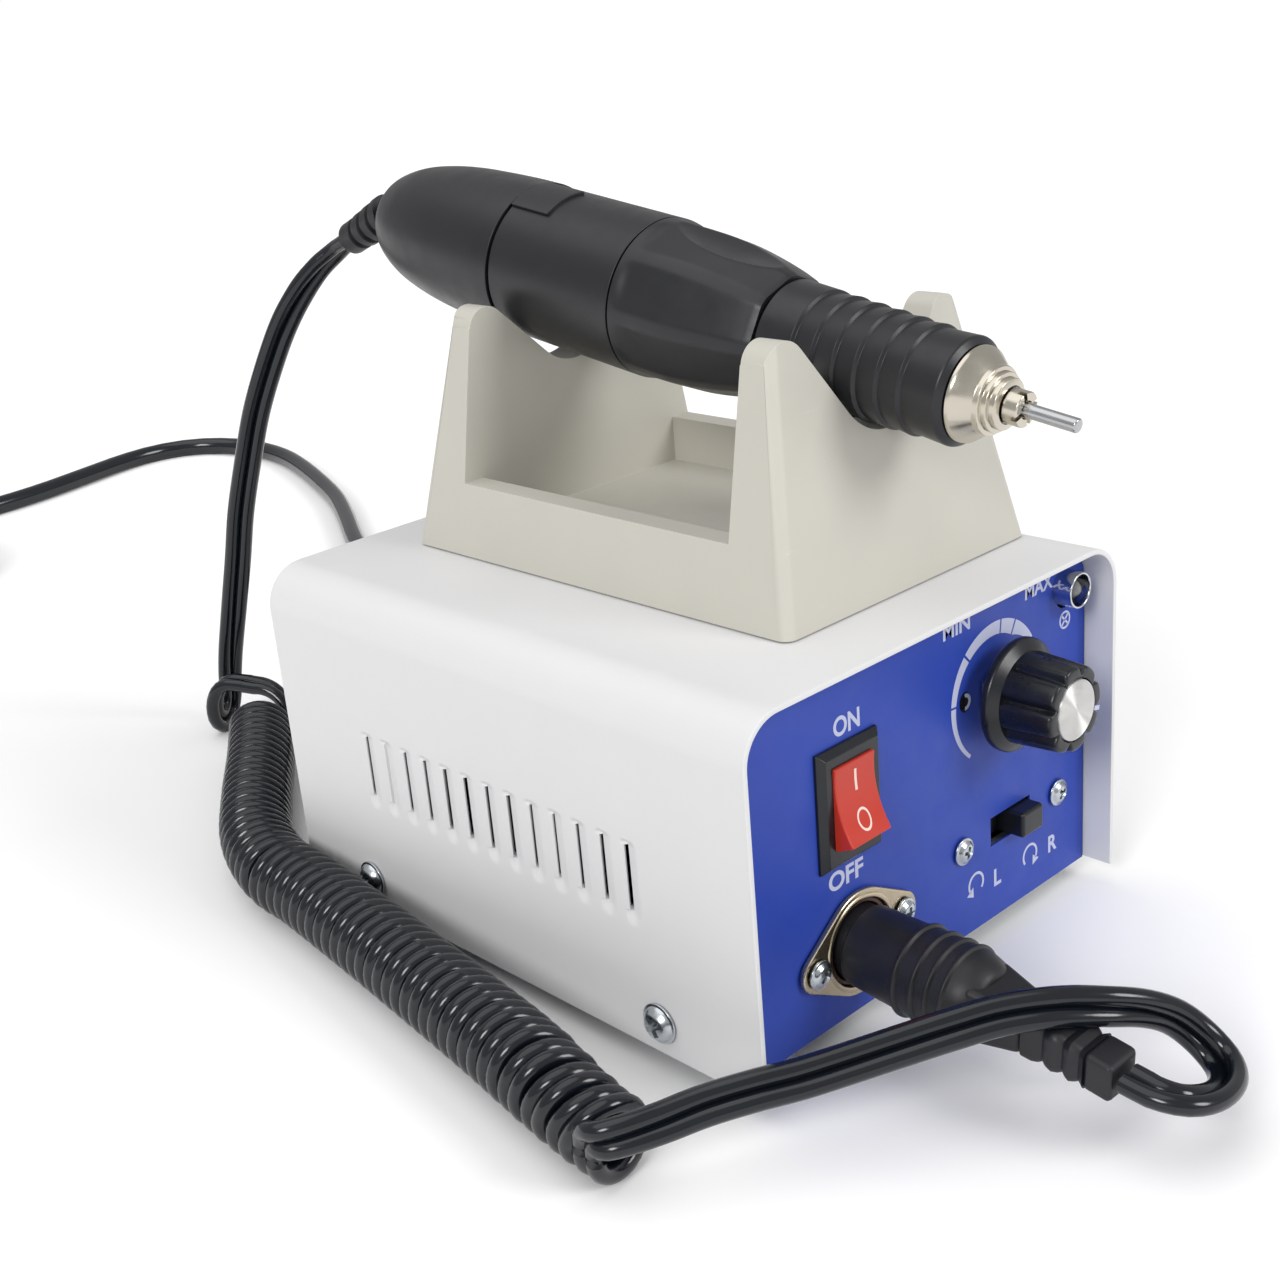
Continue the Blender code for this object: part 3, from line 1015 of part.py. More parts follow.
def build_cradle(surfaces):
    base = CASE_TOP + GAP
    middle = CASE_Y + CRADLE_Y
    half_width = CRADLE_WIDTH / 2
    half_length = CRADLE_LENGTH / 2
    lean = math.tan(CRADLE_DRAFT)
    bay = CRADLE_BAY / 2

    def wall(side, radius, flank, bottom_radius):
        """Notch centre in an end wall, so that the handpiece rests a gap above its flanks."""
        reach = radius / math.cos(NOSE_DROP) + GAP
        if bottom_radius is None:
            bottom_radius = reach
        outer = half_length - lean * (axis_height(0) - base - reach)
        y = CRADLE_Y - outer if side < 0 else CRADLE_Y + bay
        centre = axis_height(y) - (reach - bottom_radius) / math.cos(flank) - base
        return notch_profile(centre, bottom_radius, flank)

    front, front_top = wall(-1, GRIP_RADIUS, FRONT_FLANK, None)
    rear, rear_top = wall(1, BODY_RADIUS, REAR_FLANK, REAR_NOTCH_RADIUS)
    height = max(front_top, rear_top) + HORN_RADIUS + OVERRUN
    shape = bmesh.new()
    rings = []
    for z in (0.0, height):
        x = half_width - lean * z
        y = half_length - lean * z
        rings.append([shape.verts.new((i * x, j * y, z)) for i, j in ((-1, -1), (1, -1), (1, 1), (-1, 1))])
    shape.faces.new(rings[0])
    shape.faces.new(list(reversed(rings[1])))
    for i in range(4):
        j = (i + 1) % 4
        shape.faces.new((rings[0][i], rings[0][j], rings[1][j], rings[1][i]))
    place = {"location": (CRADLE_X, middle, base)}
    cradle = add_object("cradle", shape, surfaces["cradle_beige"], **place)

    rail = half_width - lean * CRADLE_RAIL_HEIGHT - CRADLE_RAIL_WIDTH
    far = half_width + OVERRUN
    over = height + OVERRUN
    bay_outline = [(-rail, CRADLE_FLOOR), (rail, CRADLE_FLOOR), (rail, CRADLE_RAIL_HEIGHT),
                   (far, CRADLE_RAIL_HEIGHT), (far, over), (-far, over), (-far, CRADLE_RAIL_HEIGHT),
                   (-rail, CRADLE_RAIL_HEIGHT)]
    cut(cradle, prism(bay_outline, -bay, bay), "cradle_bay", **place)
    for name, side, profile in (("front_notch", -1, front), ("rear_notch", 1, rear)):
        start = profile[0]
        outline = profile + [(-far, start[1]), (-far, over), (far, over), (far, start[1])]
        near, away = sorted((side * (bay - OVERRUN), side * (half_length + OVERRUN)))
        cut(cradle, prism(outline, near, away), name, **place)


# Handpiece

def build_handpiece(surfaces):
    axis = add_empty("handpiece_axis", (CRADLE_X, CASE_Y, FOOT_HEIGHT + AXIS_HEIGHT),
                     (math.radians(90.0) + NOSE_DROP, 0, 0))
    black = surfaces["handpiece_black"]

    shell_outer = [(TAIL_FLAT_RADIUS, TAIL_END)]
    shell_outer += [(BODY_RADIUS * radius, TAIL_END + (SHELL_END - TAIL_END) * along)
                    for along, radius in SHELL_SHARES]
    inner_radius = BODY_RADIUS - SHELL_WALL
    shell_inner = [(TAIL_HOLE_RADIUS, TAIL_END)]
    shell_inner += [(BODY_RADIUS * radius - SHELL_WALL,
                     TAIL_END + (SHELL_END - TAIL_END) * along + SHELL_WALL / 2)
                    for along, radius in SHELL_SHARES[1:-1:2]]
    shell_inner += [(inner_radius, SHELL_END)]
    shell_inner.insert(1, (TAIL_HOLE_RADIUS, TAIL_END + SHELL_WALL))
    add_object("rear_shell", turned(shell_outer + list(reversed(shell_inner))), black, parent=axis)

    start = SHELL_END + RUNNING_GAP
    housing = turned([(BODY_RADIUS - GAP, start), (BODY_RADIUS - GAP, HOUSING_END),
                      (inner_radius - GAP, HOUSING_END), (inner_radius - GAP, start)])
    housing = add_object("motor_housing", housing, black, parent=axis)
    ends = (TAB_MIDDLE - TAB_HALF_SPREAD, TAB_MIDDLE + TAB_HALF_SPREAD)
    tab = arc((0, 0), BODY_RADIUS + TAB_HEIGHT, *ends, 4)
    tab += arc((0, 0), BODY_RADIUS - 2 * GAP, *reversed(ends), 4)
    join(housing, prism(tab, start, start + TAB_LENGTH, axes=(0, 1, 2)), "housing_tab", parent=axis)
    magnet_outer = inner_radius - 2 * GAP
    magnet_inner = magnet_outer - MAGNET_WALL
    rotor_start = start + END_BELL_THICKNESS + COMMUTATOR_LENGTH
    magnet_end = HOUSING_END - CHUCK_FLANGE - GAP
    magnets = turned([(magnet_outer, rotor_start), (magnet_outer, magnet_end),
                      (magnet_inner, magnet_end), (magnet_inner, rotor_start)], SMALL_SIDES)
    add_object("magnet_ring", magnets, surfaces["steel"], parent=axis)

    bell_low = start - END_BELL_THICKNESS
    seat = BEARING_RADIUS + GAP
    bell = turned([(seat, bell_low), (magnet_outer, bell_low), (magnet_outer, start + GAP),
                   (END_BELL_HUB, start + GAP), (END_BELL_HUB, bell_low + BEARING_WIDTH + GAP),
                   (seat, bell_low + BEARING_WIDTH + GAP)], SMALL_SIDES)
    add_object("end_bell", bell, surfaces["aluminium"], parent=axis)
    add_object("rear_bearing", bearing(bell_low), surfaces["steel"], parent=axis)
    for index, side in enumerate((-1, 1), start=1):
        inner = COMMUTATOR_RADIUS + RUNNING_GAP
        outer = inner_radius - 2 * GAP
        brush_low = bell_low + BEARING_WIDTH + 2 * GAP
        half = BRUSH_WIDTH / 2
        brush = block((min(side * inner, side * outer), -half, brush_low),
                      (max(side * inner, side * outer), half, brush_low + BRUSH_WIDTH))
        add_object(f"brush_holder_{index}", brush, surfaces["brown_plastic"], parent=axis)

    chuck_low = HOUSING_END - CHUCK_FLANGE
    chuck_inner = CHUCK_RADIUS - CHUCK_WALL
    chuck_end = GRIP_END - BEARING_WIDTH
    chuck = turned([(chuck_inner, chuck_low), (CHUCK_FLANGE_RADIUS, chuck_low),
                    (CHUCK_FLANGE_RADIUS, HOUSING_END), (CHUCK_RADIUS, HOUSING_END),
                    (CHUCK_RADIUS, chuck_end), (chuck_inner, chuck_end)], SMALL_SIDES)
    add_object("chuck_housing", chuck, surfaces["steel"], parent=axis)

    build_sleeve(surfaces, axis)
    build_grip(surfaces, axis)
    bearing_low = GRIP_END - 2 * BEARING_WIDTH - GAP
    add_object("front_bearing", bearing(bearing_low), surfaces["steel"], parent=axis)
    build_spindle(surfaces, axis, bell_low, rotor_start)
    build_relief(surfaces, axis)


def bearing(low):
    return turned([(SPINDLE_RADIUS + GAP, low), (BEARING_RADIUS, low), (BEARING_RADIUS, low + BEARING_WIDTH),
                   (SPINDLE_RADIUS + GAP, low + BEARING_WIDTH)], SMALL_SIDES)


def build_sleeve(surfaces, axis):
    """The chuck lock sleeve: eight soft facets with a thumb hollow on top."""
    start = HOUSING_END + RUNNING_GAP
    inner = CHUCK_RADIUS + RUNNING_GAP
    outline = [(BODY_RADIUS - GAP, start), (SLEEVE_BACK_RADIUS, 0), (SLEEVE_MIDDLE_RADIUS, SLEEVE_SHOULDER),
               (SLEEVE_FRONT_RADIUS, SLEEVE_END - SLEEVE_SLOPE), (SLEEVE_END_RADIUS, SLEEVE_END)]
    profile = outline + [(inner, SLEEVE_END), (inner, start)]
    shape = turned(profile)
    for corner in shape.verts:
        if corner.co.z > start + GAP and corner.co.xy.length > inner + GAP:
            facet = math.tau / SLEEVE_FACETS
            turn = math.atan2(corner.co.y, corner.co.x) % facet - facet / 2
            corner.co.xy *= min(1.0, SLEEVE_FLAT_SHARE / math.cos(turn))
    sleeve = add_object("lock_sleeve", shape, surfaces["handpiece_black"], parent=axis)
    cutters = bmesh.new()
    place = (Matrix.Translation((0, BODY_RADIUS + THUMB_RADIUS - THUMB_DEPTH, (start + SLEEVE_END) / 2))
             @ Matrix.Rotation(THUMB_TILT, 4, 'X'))
    rod(THUMB_RADIUS, -THUMB_LENGTH / 2, THUMB_LENGTH / 2, ROUND_SIDES, cutters, place)
    cut(sleeve, cutters, "thumb_cutter", parent=axis)


def build_grip(surfaces, axis):
    start = SLEEVE_END + RUNNING_GAP
    slope = (GRIP_FRONT_RADIUS - GRIP_RADIUS) / (GRIP_END - start)
    outer = [(GRIP_RADIUS, start)]
    for index in range(GRIP_RIBS):
        at = GRIP_RIB_START + index * GRIP_RIB_PITCH
        radius = GRIP_RADIUS + slope * (at - start)
        outer += [(radius, at), (radius - GRIP_RIB_DEPTH, at + GAP)]
    outer += [(GRIP_FRONT_RADIUS, GRIP_END - GRIP_CHAMFER), (CONE_RADIUS, GRIP_END)]
    inner = CHUCK_RADIUS + GAP
    mouth = CONE_RADIUS - GRIP_CHAMFER
    step = GRIP_END - BEARING_WIDTH / 2
    profile = outer + [(mouth, GRIP_END), (mouth, step), (inner, step), (inner, start)]
    add_object("nose_grip", turned(profile), surfaces["handpiece_black"], parent=axis)
    low = GRIP_END + GAP
    bore = SPINDLE_RADIUS + RUNNING_GAP
    cone = turned([(bore, low), (CONE_RADIUS, low), (CONE_FRONT_RADIUS, CONE_END), (COLLAR_RADIUS, CONE_END),
                   (COLLAR_RADIUS, CONE_END + GAP), (COLLAR_RADIUS, CONE_END + 2 * GAP),
                   (COLLAR_NECK_RADIUS + GAP, COLLAR_END), (bore, COLLAR_END)])
    add_object("nose_cone", cone, surfaces["nickel"], parent=axis)


def build_spindle(surfaces, axis, bell_low, rotor_start):
    nut_low = COLLAR_END + GAP
    seat = PIN_RADIUS + GAP
    bottom = nut_low - SPINDLE_BORE_DEPTH
    spindle = turned([(0, bell_low - BEARING_WIDTH), (SPINDLE_RADIUS, bell_low - BEARING_WIDTH),
                      (SPINDLE_RADIUS, nut_low - GAP), (seat, nut_low - GAP), (seat, bottom), (0, bottom)],
                     TINY_SIDES)
    add_object("spindle", spindle, surfaces["steel"], parent=axis)
    shaft = SPINDLE_RADIUS + GAP
    collector = rotor_start - COMMUTATOR_LENGTH / 2
    end = HOUSING_END - CHUCK_FLANGE - 2 * GAP
    poles = rotor_start + GAP
    armature = turned([(shaft, collector), (COMMUTATOR_RADIUS, collector), (COMMUTATOR_RADIUS, poles),
                       (ARMATURE_RADIUS, poles), (ARMATURE_RADIUS, end), (shaft, end)], SMALL_SIDES)
    add_object("armature", armature, surfaces["copper"], parent=axis)
    nut = turned([(seat, nut_low), (NUT_RADIUS, nut_low), (NUT_RADIUS, NUT_END - GAP),
                  (NUT_RADIUS - GAP, NUT_END), (seat, NUT_END)], TINY_SIDES)
    nut = add_object("collet_nut", nut, surfaces["nickel"], parent=axis)
    reach = NUT_RADIUS + OVERRUN
    middle = (nut_low + NUT_END) / 2
    slots = block((-reach, -NUT_SLOT / 2, middle), (reach, NUT_SLOT / 2, NUT_END + OVERRUN))
    cut(nut, slots, "nut_slot", parent=axis)
    pin_low = NUT_END - PIN_SEAT
    pin = turned([(0, pin_low), (PIN_RADIUS, pin_low), (PIN_RADIUS, PIN_END - PIN_CHAMFER),
                  (PIN_RADIUS - PIN_CHAMFER, PIN_END), (0, PIN_END)], TINY_SIDES)
    add_object("tool_pin", pin, surfaces["steel"], parent=axis)


def relief_frame():
    """Root of the tail relief, which droops from the handpiece axis."""
    root = Vector((CRADLE_X, CASE_Y + RELIEF_ROOT * math.cos(NOSE_DROP),
                   FOOT_HEIGHT + AXIS_HEIGHT + RELIEF_ROOT * math.sin(NOSE_DROP)))
    return root, (math.radians(-90.0) - RELIEF_DROOP, 0, 0)


def build_relief(surfaces, axis):
    root, turn = relief_frame()
    tail = add_empty("relief_axis", root, turn)
    profile = [(0, 0)]
    pitch = RELIEF_LENGTH / (RELIEF_RIBS + 1)
    for index in range(RELIEF_RIBS + 1):
        radius = RELIEF_ROOT_RADIUS + (RELIEF_END_RADIUS - RELIEF_ROOT_RADIUS) * index / RELIEF_RIBS
        at = index * pitch
        profile += [(radius, at), (radius, at + pitch / 2)]
        if index < RELIEF_RIBS:
            groove = radius - RELIEF_GROOVE
            profile += [(groove, at + pitch / 2 + GAP), (groove, at + pitch - GAP)]
    profile += [(RELIEF_END_RADIUS, RELIEF_LENGTH), (0, RELIEF_LENGTH)]
    relief = add_object("tail_relief", turned(profile, SMALL_SIDES), surfaces["black_rubber"], parent=tail)
    stem = rod(TAIL_HOLE_RADIUS - GAP, -RELIEF_ROOT - GAP, TAIL_END + RELIEF_STEM_LENGTH)
    join(relief, stem, "relief_stem_guide", parent=axis)


# Cords

def cord_points(route, spacing):
    """Evenly spaced points on the curve through a route whose first and last steps are straight."""
    ends = [Vector(route[0]) * MM, Vector(route[-1]) * MM]
    inner = curve_through([Vector(point) * MM for point in route])[FINE_STEPS:-FINE_STEPS]
    length = spaced(inner, 1)[1]
    return ends[:1] + spaced(inner, round(length / spacing))[0] + ends[1:]


def twin_section():
    """Outline of a twin cord, its wide side first, as ten points."""
    points = []
    for side in (1, -1):
        for index in range(LOBE_POINTS):
            angle = math.radians(-120.0) + math.radians(240.0) * index / (LOBE_POINTS - 1)
            wide = side * (LOBE_RADIUS + LOBE_RADIUS * math.cos(angle))
            thick = side * LOBE_RADIUS * math.sin(angle)
            points.append((wide, thick))
    return points


def eased(share):
    """A share kept between 0 and 1 that starts and ends level."""
    share = min(max(share, 0.0), 1.0)
    return share * share * (3 - 2 * share)


def curly_points():
    """Finely spaced middle of the twin cord along its curls, each with the direction out of the coil.

    The curls turn left over the top as they run back from the front. The first one starts small
    and further forward, and the last one is drawn out."""
    lift = CURL_RADIUS + CURL_LIFT
    mean = CURL_RADIUS - LOBE_RADIUS
    route = [Vector((x * MM, y * MM, lift)) for x, y in CURLY_AXIS]
    per_curl = CURL_POINTS * CURL_FINE_STEPS
    steps = CURLS * per_curl
    path, length = spaced(curve_through(route), steps)
    print(f"curly cord: coil length {length / MM:.1f} mm")
    up = Vector((0, 0, 1))
    found = []
    for index, centre in enumerate(path):
        along = (path[min(index + 1, steps)] - path[max(index - 1, 0)]).normalized()
        right = along.cross(up)
        angle = math.pi / 2 + math.tau * index / per_curl
        outward = right * math.cos(angle) + up * math.sin(angle)
        first = max(1 - index / per_curl, 0.0)
        last = max(1 - (steps - index) / per_curl, 0.0)
        radius = mean * (1 - CURL_TUCK_SHARE * eased(1 - 2 * index / per_curl))
        shift = CURL_STRETCH * last * last - CURL_REACH * first * first
        found.append((centre + outward * radius + along * shift, outward))
    return found


def curly_runs():
    """Middle, heading and direction out of the coil at each ring of points, both ends straight."""
    found = curly_points()
    final = len(found) - 1
    runs = []
    for index in range(0, final + 1, CURL_FINE_STEPS):
        heading = (found[min(index + 1, final)][0] - found[max(index - 1, 0)][0]).normalized()
        spot, outward = found[index]
        runs.append((spot, heading, (outward - heading * outward.dot(heading)).normalized()))
    lead = 2 * LOBE_RADIUS
    spot, heading, outward = runs[0]
    runs.insert(0, (spot - heading * lead, heading, outward))
    spot, heading, outward = runs[-1]
    runs.append((spot + heading * lead, heading, outward))
    return runs


def build_curly_cord(surfaces):
    """A twin cord wound with its wide side along the coil, as one unbroken helix."""
    shape = bmesh.new()
    rings = []
    runs = curly_runs()
    for spot, heading, outward in runs:
        wide_way = heading.cross(outward)
        rings.append([shape.verts.new(spot + wide_way * wide + outward * thick)
                      for wide, thick in twin_section()])
    shape.faces.new(rings[0])
    shape.faces.new(list(reversed(rings[-1])))
    for low, high in zip(rings, rings[1:]):
        for i in range(len(low)):
            j = (i + 1) % len(low)
            shape.faces.new((low[i], low[j], high[j], high[i]))
    add_object("curly_cord", shape, surfaces["cord_black"])
    turn_gap = least_gap([run[0] for run in runs], 4 * LOBE_RADIUS, CURL_POINTS - 1)
    print(f"curly cord: least gap to itself {turn_gap / MM:.2f} mm")


def mains_coil_points():
    """Two piled layers of loops that spiral in, climb and spiral out again."""
    count = LOOPS * LOOP_POINTS
    half = count / 2
    inner = LOOP_RADIUS - LOOP_PITCH * LOOPS / 4
    low = MAINS_RADIUS + MAINS_LIFT
    points = []
    for index in range(count + 1):
        angle = math.pi / 2 + math.tau * index / LOOP_POINTS
        radius = inner + LOOP_PITCH * abs(index - half) / LOOP_POINTS
        climb = (index - half) / (LOOP_POINTS / 2) + 0.5
        points.append(Vector((MAINS_COIL_X + radius * math.cos(angle),
                              MAINS_COIL_Y + radius * math.sin(angle), low + LAYER_RISE * eased(climb))))
    return points


def build_cords(surfaces):
    black = surfaces["cord_black"]
    build_curly_cord(surfaces)
    for name, route, radius, spacing in (
            ("handpiece_cord", HANDPIECE_CORD_ROUTE, TWIN_TUBE_RADIUS, TWIN_SPACING),
            ("front_lead", FRONT_LEAD_ROUTE, TWIN_TUBE_RADIUS, TWIN_SPACING),
            ("mains_lead", MAINS_LEAD_ROUTE, MAINS_RADIUS, MAINS_SPACING)):
        points = cord_points(route, spacing)
        tube(name, points, radius, black)
        length = sum((a - b).length for a, b in zip(points, points[1:]))
        print(f"{name}: {length / MM:.0f} mm in {len(points)} points")
    points = mains_coil_points()
    lead = 2 * MAINS_RADIUS
    first = (points[0] - points[1]).normalized()
    last = (points[-1] - points[-2]).normalized()
    tail = [points[-1] + last * lead * step for step in range(1, TAIL_DIAMETERS + 1)]
    points = [points[0] + first * lead] + points + tail
    tube("mains_coil", points, MAINS_RADIUS, black, resolution=1)
    coil_length = sum((a - b).length for a, b in zip(points, points[1:]))
    coil_gap = least_gap(points, 2 * MAINS_RADIUS, LOOP_POINTS - 2)
    print(f"mains coil: {coil_length / MM:.0f} mm, least gap to itself {coil_gap / MM:.2f} mm")
    end = points[-1] + last * GAP
    heading = math.atan2(last.y, last.x)
    build_mains_plug(surfaces, end, heading)


def build_mains_plug(surfaces, end, heading):
    """A two-pin plug lying flat on the table; local Z runs along it from the cord to the pins."""
    upright = Matrix.Translation(end) @ Matrix.Rotation(heading, 4, 'Z')
    turn = upright @ Matrix.Rotation(math.radians(90.0), 4, 'Y')
    low = PLUG_RELIEF_LENGTH
    high = low + MAINS_PLUG_LENGTH
    half_height = MAINS_PLUG_HEIGHT / 2
    half_width = MAINS_PLUG_WIDTH / 2
    body = block((-half_height, -half_width, low), (half_height, half_width, high))
    bmesh.ops.bevel(body, geom=list(body.edges), offset=MAINS_PLUG_BEVEL, segments=2, profile=0.5,
                    affect='EDGES', material=-1)
    bmesh.ops.transform(body, matrix=turn, verts=body.verts)
    plug = add_object("mains_plug", body, surfaces["black_rubber"])
    pins = bmesh.new()
    for side in (-1, 1):
        spot = Matrix.Translation((0, side * MAINS_PIN_SPREAD, 0))
        rod(MAINS_PIN_RADIUS, high - MAINS_PLUG_BEVEL, high + MAINS_PIN_LENGTH, SMALL_SIDES, pins,
            turn @ spot)
    join(plug, pins, "plug_pins_guide")
    relief = turned([(0, 0), (PLUG_RELIEF_RADIUS, 0), (MAINS_PLUG_HEIGHT / 3, low + MAINS_PLUG_BEVEL),
                     (0, low + MAINS_PLUG_BEVEL)], SMALL_SIDES, place=turn)
    join(plug, relief, "plug_relief_guide")


def main():
    clear_scene()
    surfaces = {
        "case_white": finish("case_white", 0.78, 0.79, 0.81, 0.35),
        "zinc": finish("zinc", 0.66, 0.67, 0.68, 0.35, 1.0),
        "label_blue": finish("label_blue", 0.05, 0.08, 0.36, 0.4),
        "black_rubber": finish("black_rubber", 0.016, 0.017, 0.019, 0.55),
        "black_plastic": finish("black_plastic", 0.012, 0.012, 0.014, 0.3),
        "handpiece_black": finish("handpiece_black", 0.022, 0.022, 0.025, 0.5),
        "cord_black": finish("cord_black", 0.012, 0.013, 0.015, 0.25),
        "rocker_red": finish("rocker_red", 0.58, 0.055, 0.03, 0.35),
        "cradle_beige": finish("cradle_beige", 0.61, 0.58, 0.5, 0.45),
        "steel": finish("steel", 0.5, 0.5, 0.5, 0.35, 1.0),
        "nickel": finish("nickel", 0.6, 0.56, 0.5, 0.25, 1.0),
        "chrome": finish("chrome", 0.62, 0.63, 0.65, 0.12, 1.0),
        "aluminium": finish("aluminium", 0.75, 0.75, 0.76, 0.3, 1.0),
        "copper": finish("copper", 0.6, 0.3, 0.18, 0.4, 1.0),
        "brown_plastic": finish("brown_plastic", 0.12, 0.05, 0.03, 0.45),
        "brown_tape": finish("brown_tape", 0.3, 0.2, 0.08, 0.5),
        "board_green": finish("board_green", 0.03, 0.16, 0.07, 0.5),
        "led_clear": finish("led_clear", 0.7, 0.08, 0.06, 0.15),
    }
    build_case(surfaces)
    build_inside(surfaces)
    build_rocker(surfaces)
    build_knob(surfaces)
    build_lamp(surfaces)
    build_slide_switch(surfaces)
    build_socket(surfaces)
    build_cradle(surfaces)
    build_handpiece(surfaces)
    build_cords(surfaces)


main()
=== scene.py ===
"""Looks of a dental laboratory micromotor: control box, cradle, motor handpiece and cords.

Laid out as an add-on that is run as a script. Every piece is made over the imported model, in its frame:
the box faces -Y and stands on z = 0. Places and sizes of pieces are written in millimetres."""

import math

import bmesh
import bpy
from bpy.props import FloatProperty, FloatVectorProperty, IntProperty, PointerProperty
from mathutils import Matrix, Vector


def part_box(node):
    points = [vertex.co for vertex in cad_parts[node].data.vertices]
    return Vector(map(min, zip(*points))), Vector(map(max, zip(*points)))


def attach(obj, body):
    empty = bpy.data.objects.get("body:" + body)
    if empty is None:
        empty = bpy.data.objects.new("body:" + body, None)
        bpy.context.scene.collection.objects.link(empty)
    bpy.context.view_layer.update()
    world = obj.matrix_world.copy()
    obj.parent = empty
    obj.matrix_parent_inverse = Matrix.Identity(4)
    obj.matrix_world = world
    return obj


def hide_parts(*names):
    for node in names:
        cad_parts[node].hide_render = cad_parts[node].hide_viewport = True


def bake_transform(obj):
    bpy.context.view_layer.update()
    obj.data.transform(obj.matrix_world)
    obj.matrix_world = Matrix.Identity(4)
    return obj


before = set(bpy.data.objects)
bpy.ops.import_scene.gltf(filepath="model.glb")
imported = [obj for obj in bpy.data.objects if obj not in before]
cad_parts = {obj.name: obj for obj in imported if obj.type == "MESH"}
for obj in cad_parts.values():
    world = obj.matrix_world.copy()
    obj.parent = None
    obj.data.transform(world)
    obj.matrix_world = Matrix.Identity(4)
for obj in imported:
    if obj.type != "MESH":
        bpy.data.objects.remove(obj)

bl_info = {
    "name": "Laboratory micromotor",
    "version": (1, 0, 0),
    "blender": (4, 5, 0),
    "location": "View3D > Sidebar > Micromotor",
    "description": "Builds the finished pieces of a bench micromotor over its packed model",
    "category": "Object",
}

MM = 0.001
CASE_Y = (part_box("case_cover")[0].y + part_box("case_cover")[1].y) / 2 / MM
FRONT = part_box("case_cover")[0].y / MM
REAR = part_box("case_cover")[1].y / MM
HALF_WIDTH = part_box("case_cover")[1].x / MM
CASE_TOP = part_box("case_cover")[1].z / MM
CASE_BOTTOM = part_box("case_cover")[0].z / MM
LABEL_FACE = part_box("front_label")[0].y / MM
REAR_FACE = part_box("chassis")[1].y / MM
AXIS_X = 10.0
AXIS_HEIGHT = 111.9
NOSE_DROP = math.radians(8.48)
SOCKET = (-19.2, 17.4)
PLUG_DROOP = math.radians(3.5)


# Colours and finishes

def srgb(code):
    """A hex colour as it looks on screen, turned to linear red, green, blue and a full alpha."""
    parts = [int(code[i:i + 2], 16) / 255 for i in (0, 2, 4)]
    return tuple(c / 12.92 if c <= 0.04045 else ((c + 0.055) / 1.055) ** 2.4 for c in parts) + (1.0,)


def add(tree, kind, sockets=None, **options):
    """Adds one node: options are its own settings, sockets are values or links by name or number."""
    made = tree.nodes.new(kind)
    for option, value in options.items():
        setattr(made, option, value)
    for socket, value in (sockets or {}).items():
        if isinstance(value, bpy.types.NodeSocket):
            tree.links.new(value, made.inputs[socket])
        else:
            made.inputs[socket].default_value = value
    return made


def begin(name):
    """An empty material, its node tree and its object coordinates."""
    made = bpy.data.materials.new(name)
    made.use_nodes = True
    made.node_tree.nodes.clear()
    return made, made.node_tree, add(made.node_tree, "ShaderNodeTexCoord").outputs["Object"]


def close(tree, sockets):
    """Ends a material with its surface shader."""
    shader = add(tree, "ShaderNodeBsdfPrincipled", sockets)
    add(tree, "ShaderNodeOutputMaterial", {"Surface": shader.outputs[0]})


def moulded(name, colour, rough, grain, height, mottle=0.06, scuffs=0.0, ior=1.5, coat=0.0):
    """A moulded, coated or printed plastic surface: even colour that drifts a little, a fine grain of a
    given size and height in millimetres, patches where it is more or less worn, and stray scuffs."""
    made, tree, place = begin(name)
    drift = add(tree, "ShaderNodeTexNoise",
                {"Vector": place, "Scale": 1 / (14 * MM), "Detail": 3.0}).outputs[0]
    darker = tuple(c * (1 - mottle) for c in colour[:3]) + (1.0,)
    lighter = tuple(min(c * (1 + mottle), 1.0) for c in colour[:3]) + (1.0,)
    base = add(tree, "ShaderNodeMix", {0: drift, 6: darker, 7: lighter}, data_type='RGBA').outputs[2]
    worn = add(tree, "ShaderNodeTexNoise", {"Vector": place, "Scale": 1 / (5 * MM), "Detail": 4.0,
                                            "Roughness": 0.6}).outputs[0]
    dull = add(tree, "ShaderNodeMapRange", {"Value": worn, "From Min": 0.3, "From Max": 0.7,
                                            "To Min": rough * 0.85, "To Max": rough * 1.15}).outputs[0]
    if scuffs:
        drawn = add(tree, "ShaderNodeMapping", {"Vector": place, "Rotation": (0.4, 0.7, 0.3),
                                                "Scale": (1.0, 9.0, 5.0)}).outputs[0]
        marks = add(tree, "ShaderNodeTexNoise", {"Vector": drawn, "Scale": 1 / (9 * MM), "Detail": 5.0,
                                                 "Roughness": 0.7}).outputs[0]
        marks = add(tree, "ShaderNodeMapRange", {"Value": marks, "From Min": 0.66, "From Max": 0.74,
                                                 "To Min": 0.0, "To Max": scuffs}).outputs[0]
        pale = tuple(min(c * 1.6 + 0.03, 1.0) for c in colour[:3]) + (1.0,)
        base = add(tree, "ShaderNodeMix", {0: marks, 6: base, 7: pale}, data_type='RGBA').outputs[2]
        dull = add(tree, "ShaderNodeMath", {0: dull, 1: marks}, operation='ADD', use_clamp=True).outputs[0]
    fine = add(tree, "ShaderNodeTexNoise",
               {"Vector": place, "Scale": 1 / (grain * MM), "Detail": 2.0}).outputs[0]
    bump = add(tree, "ShaderNodeBump", {"Height": fine, "Distance": height * MM, "Strength": 1.0}).outputs[0]
    close(tree, {"Base Color": base, "Roughness": dull, "Normal": bump, "IOR": ior, "Coat Weight": coat,
                 "Coat Roughness": 0.1})
    return made


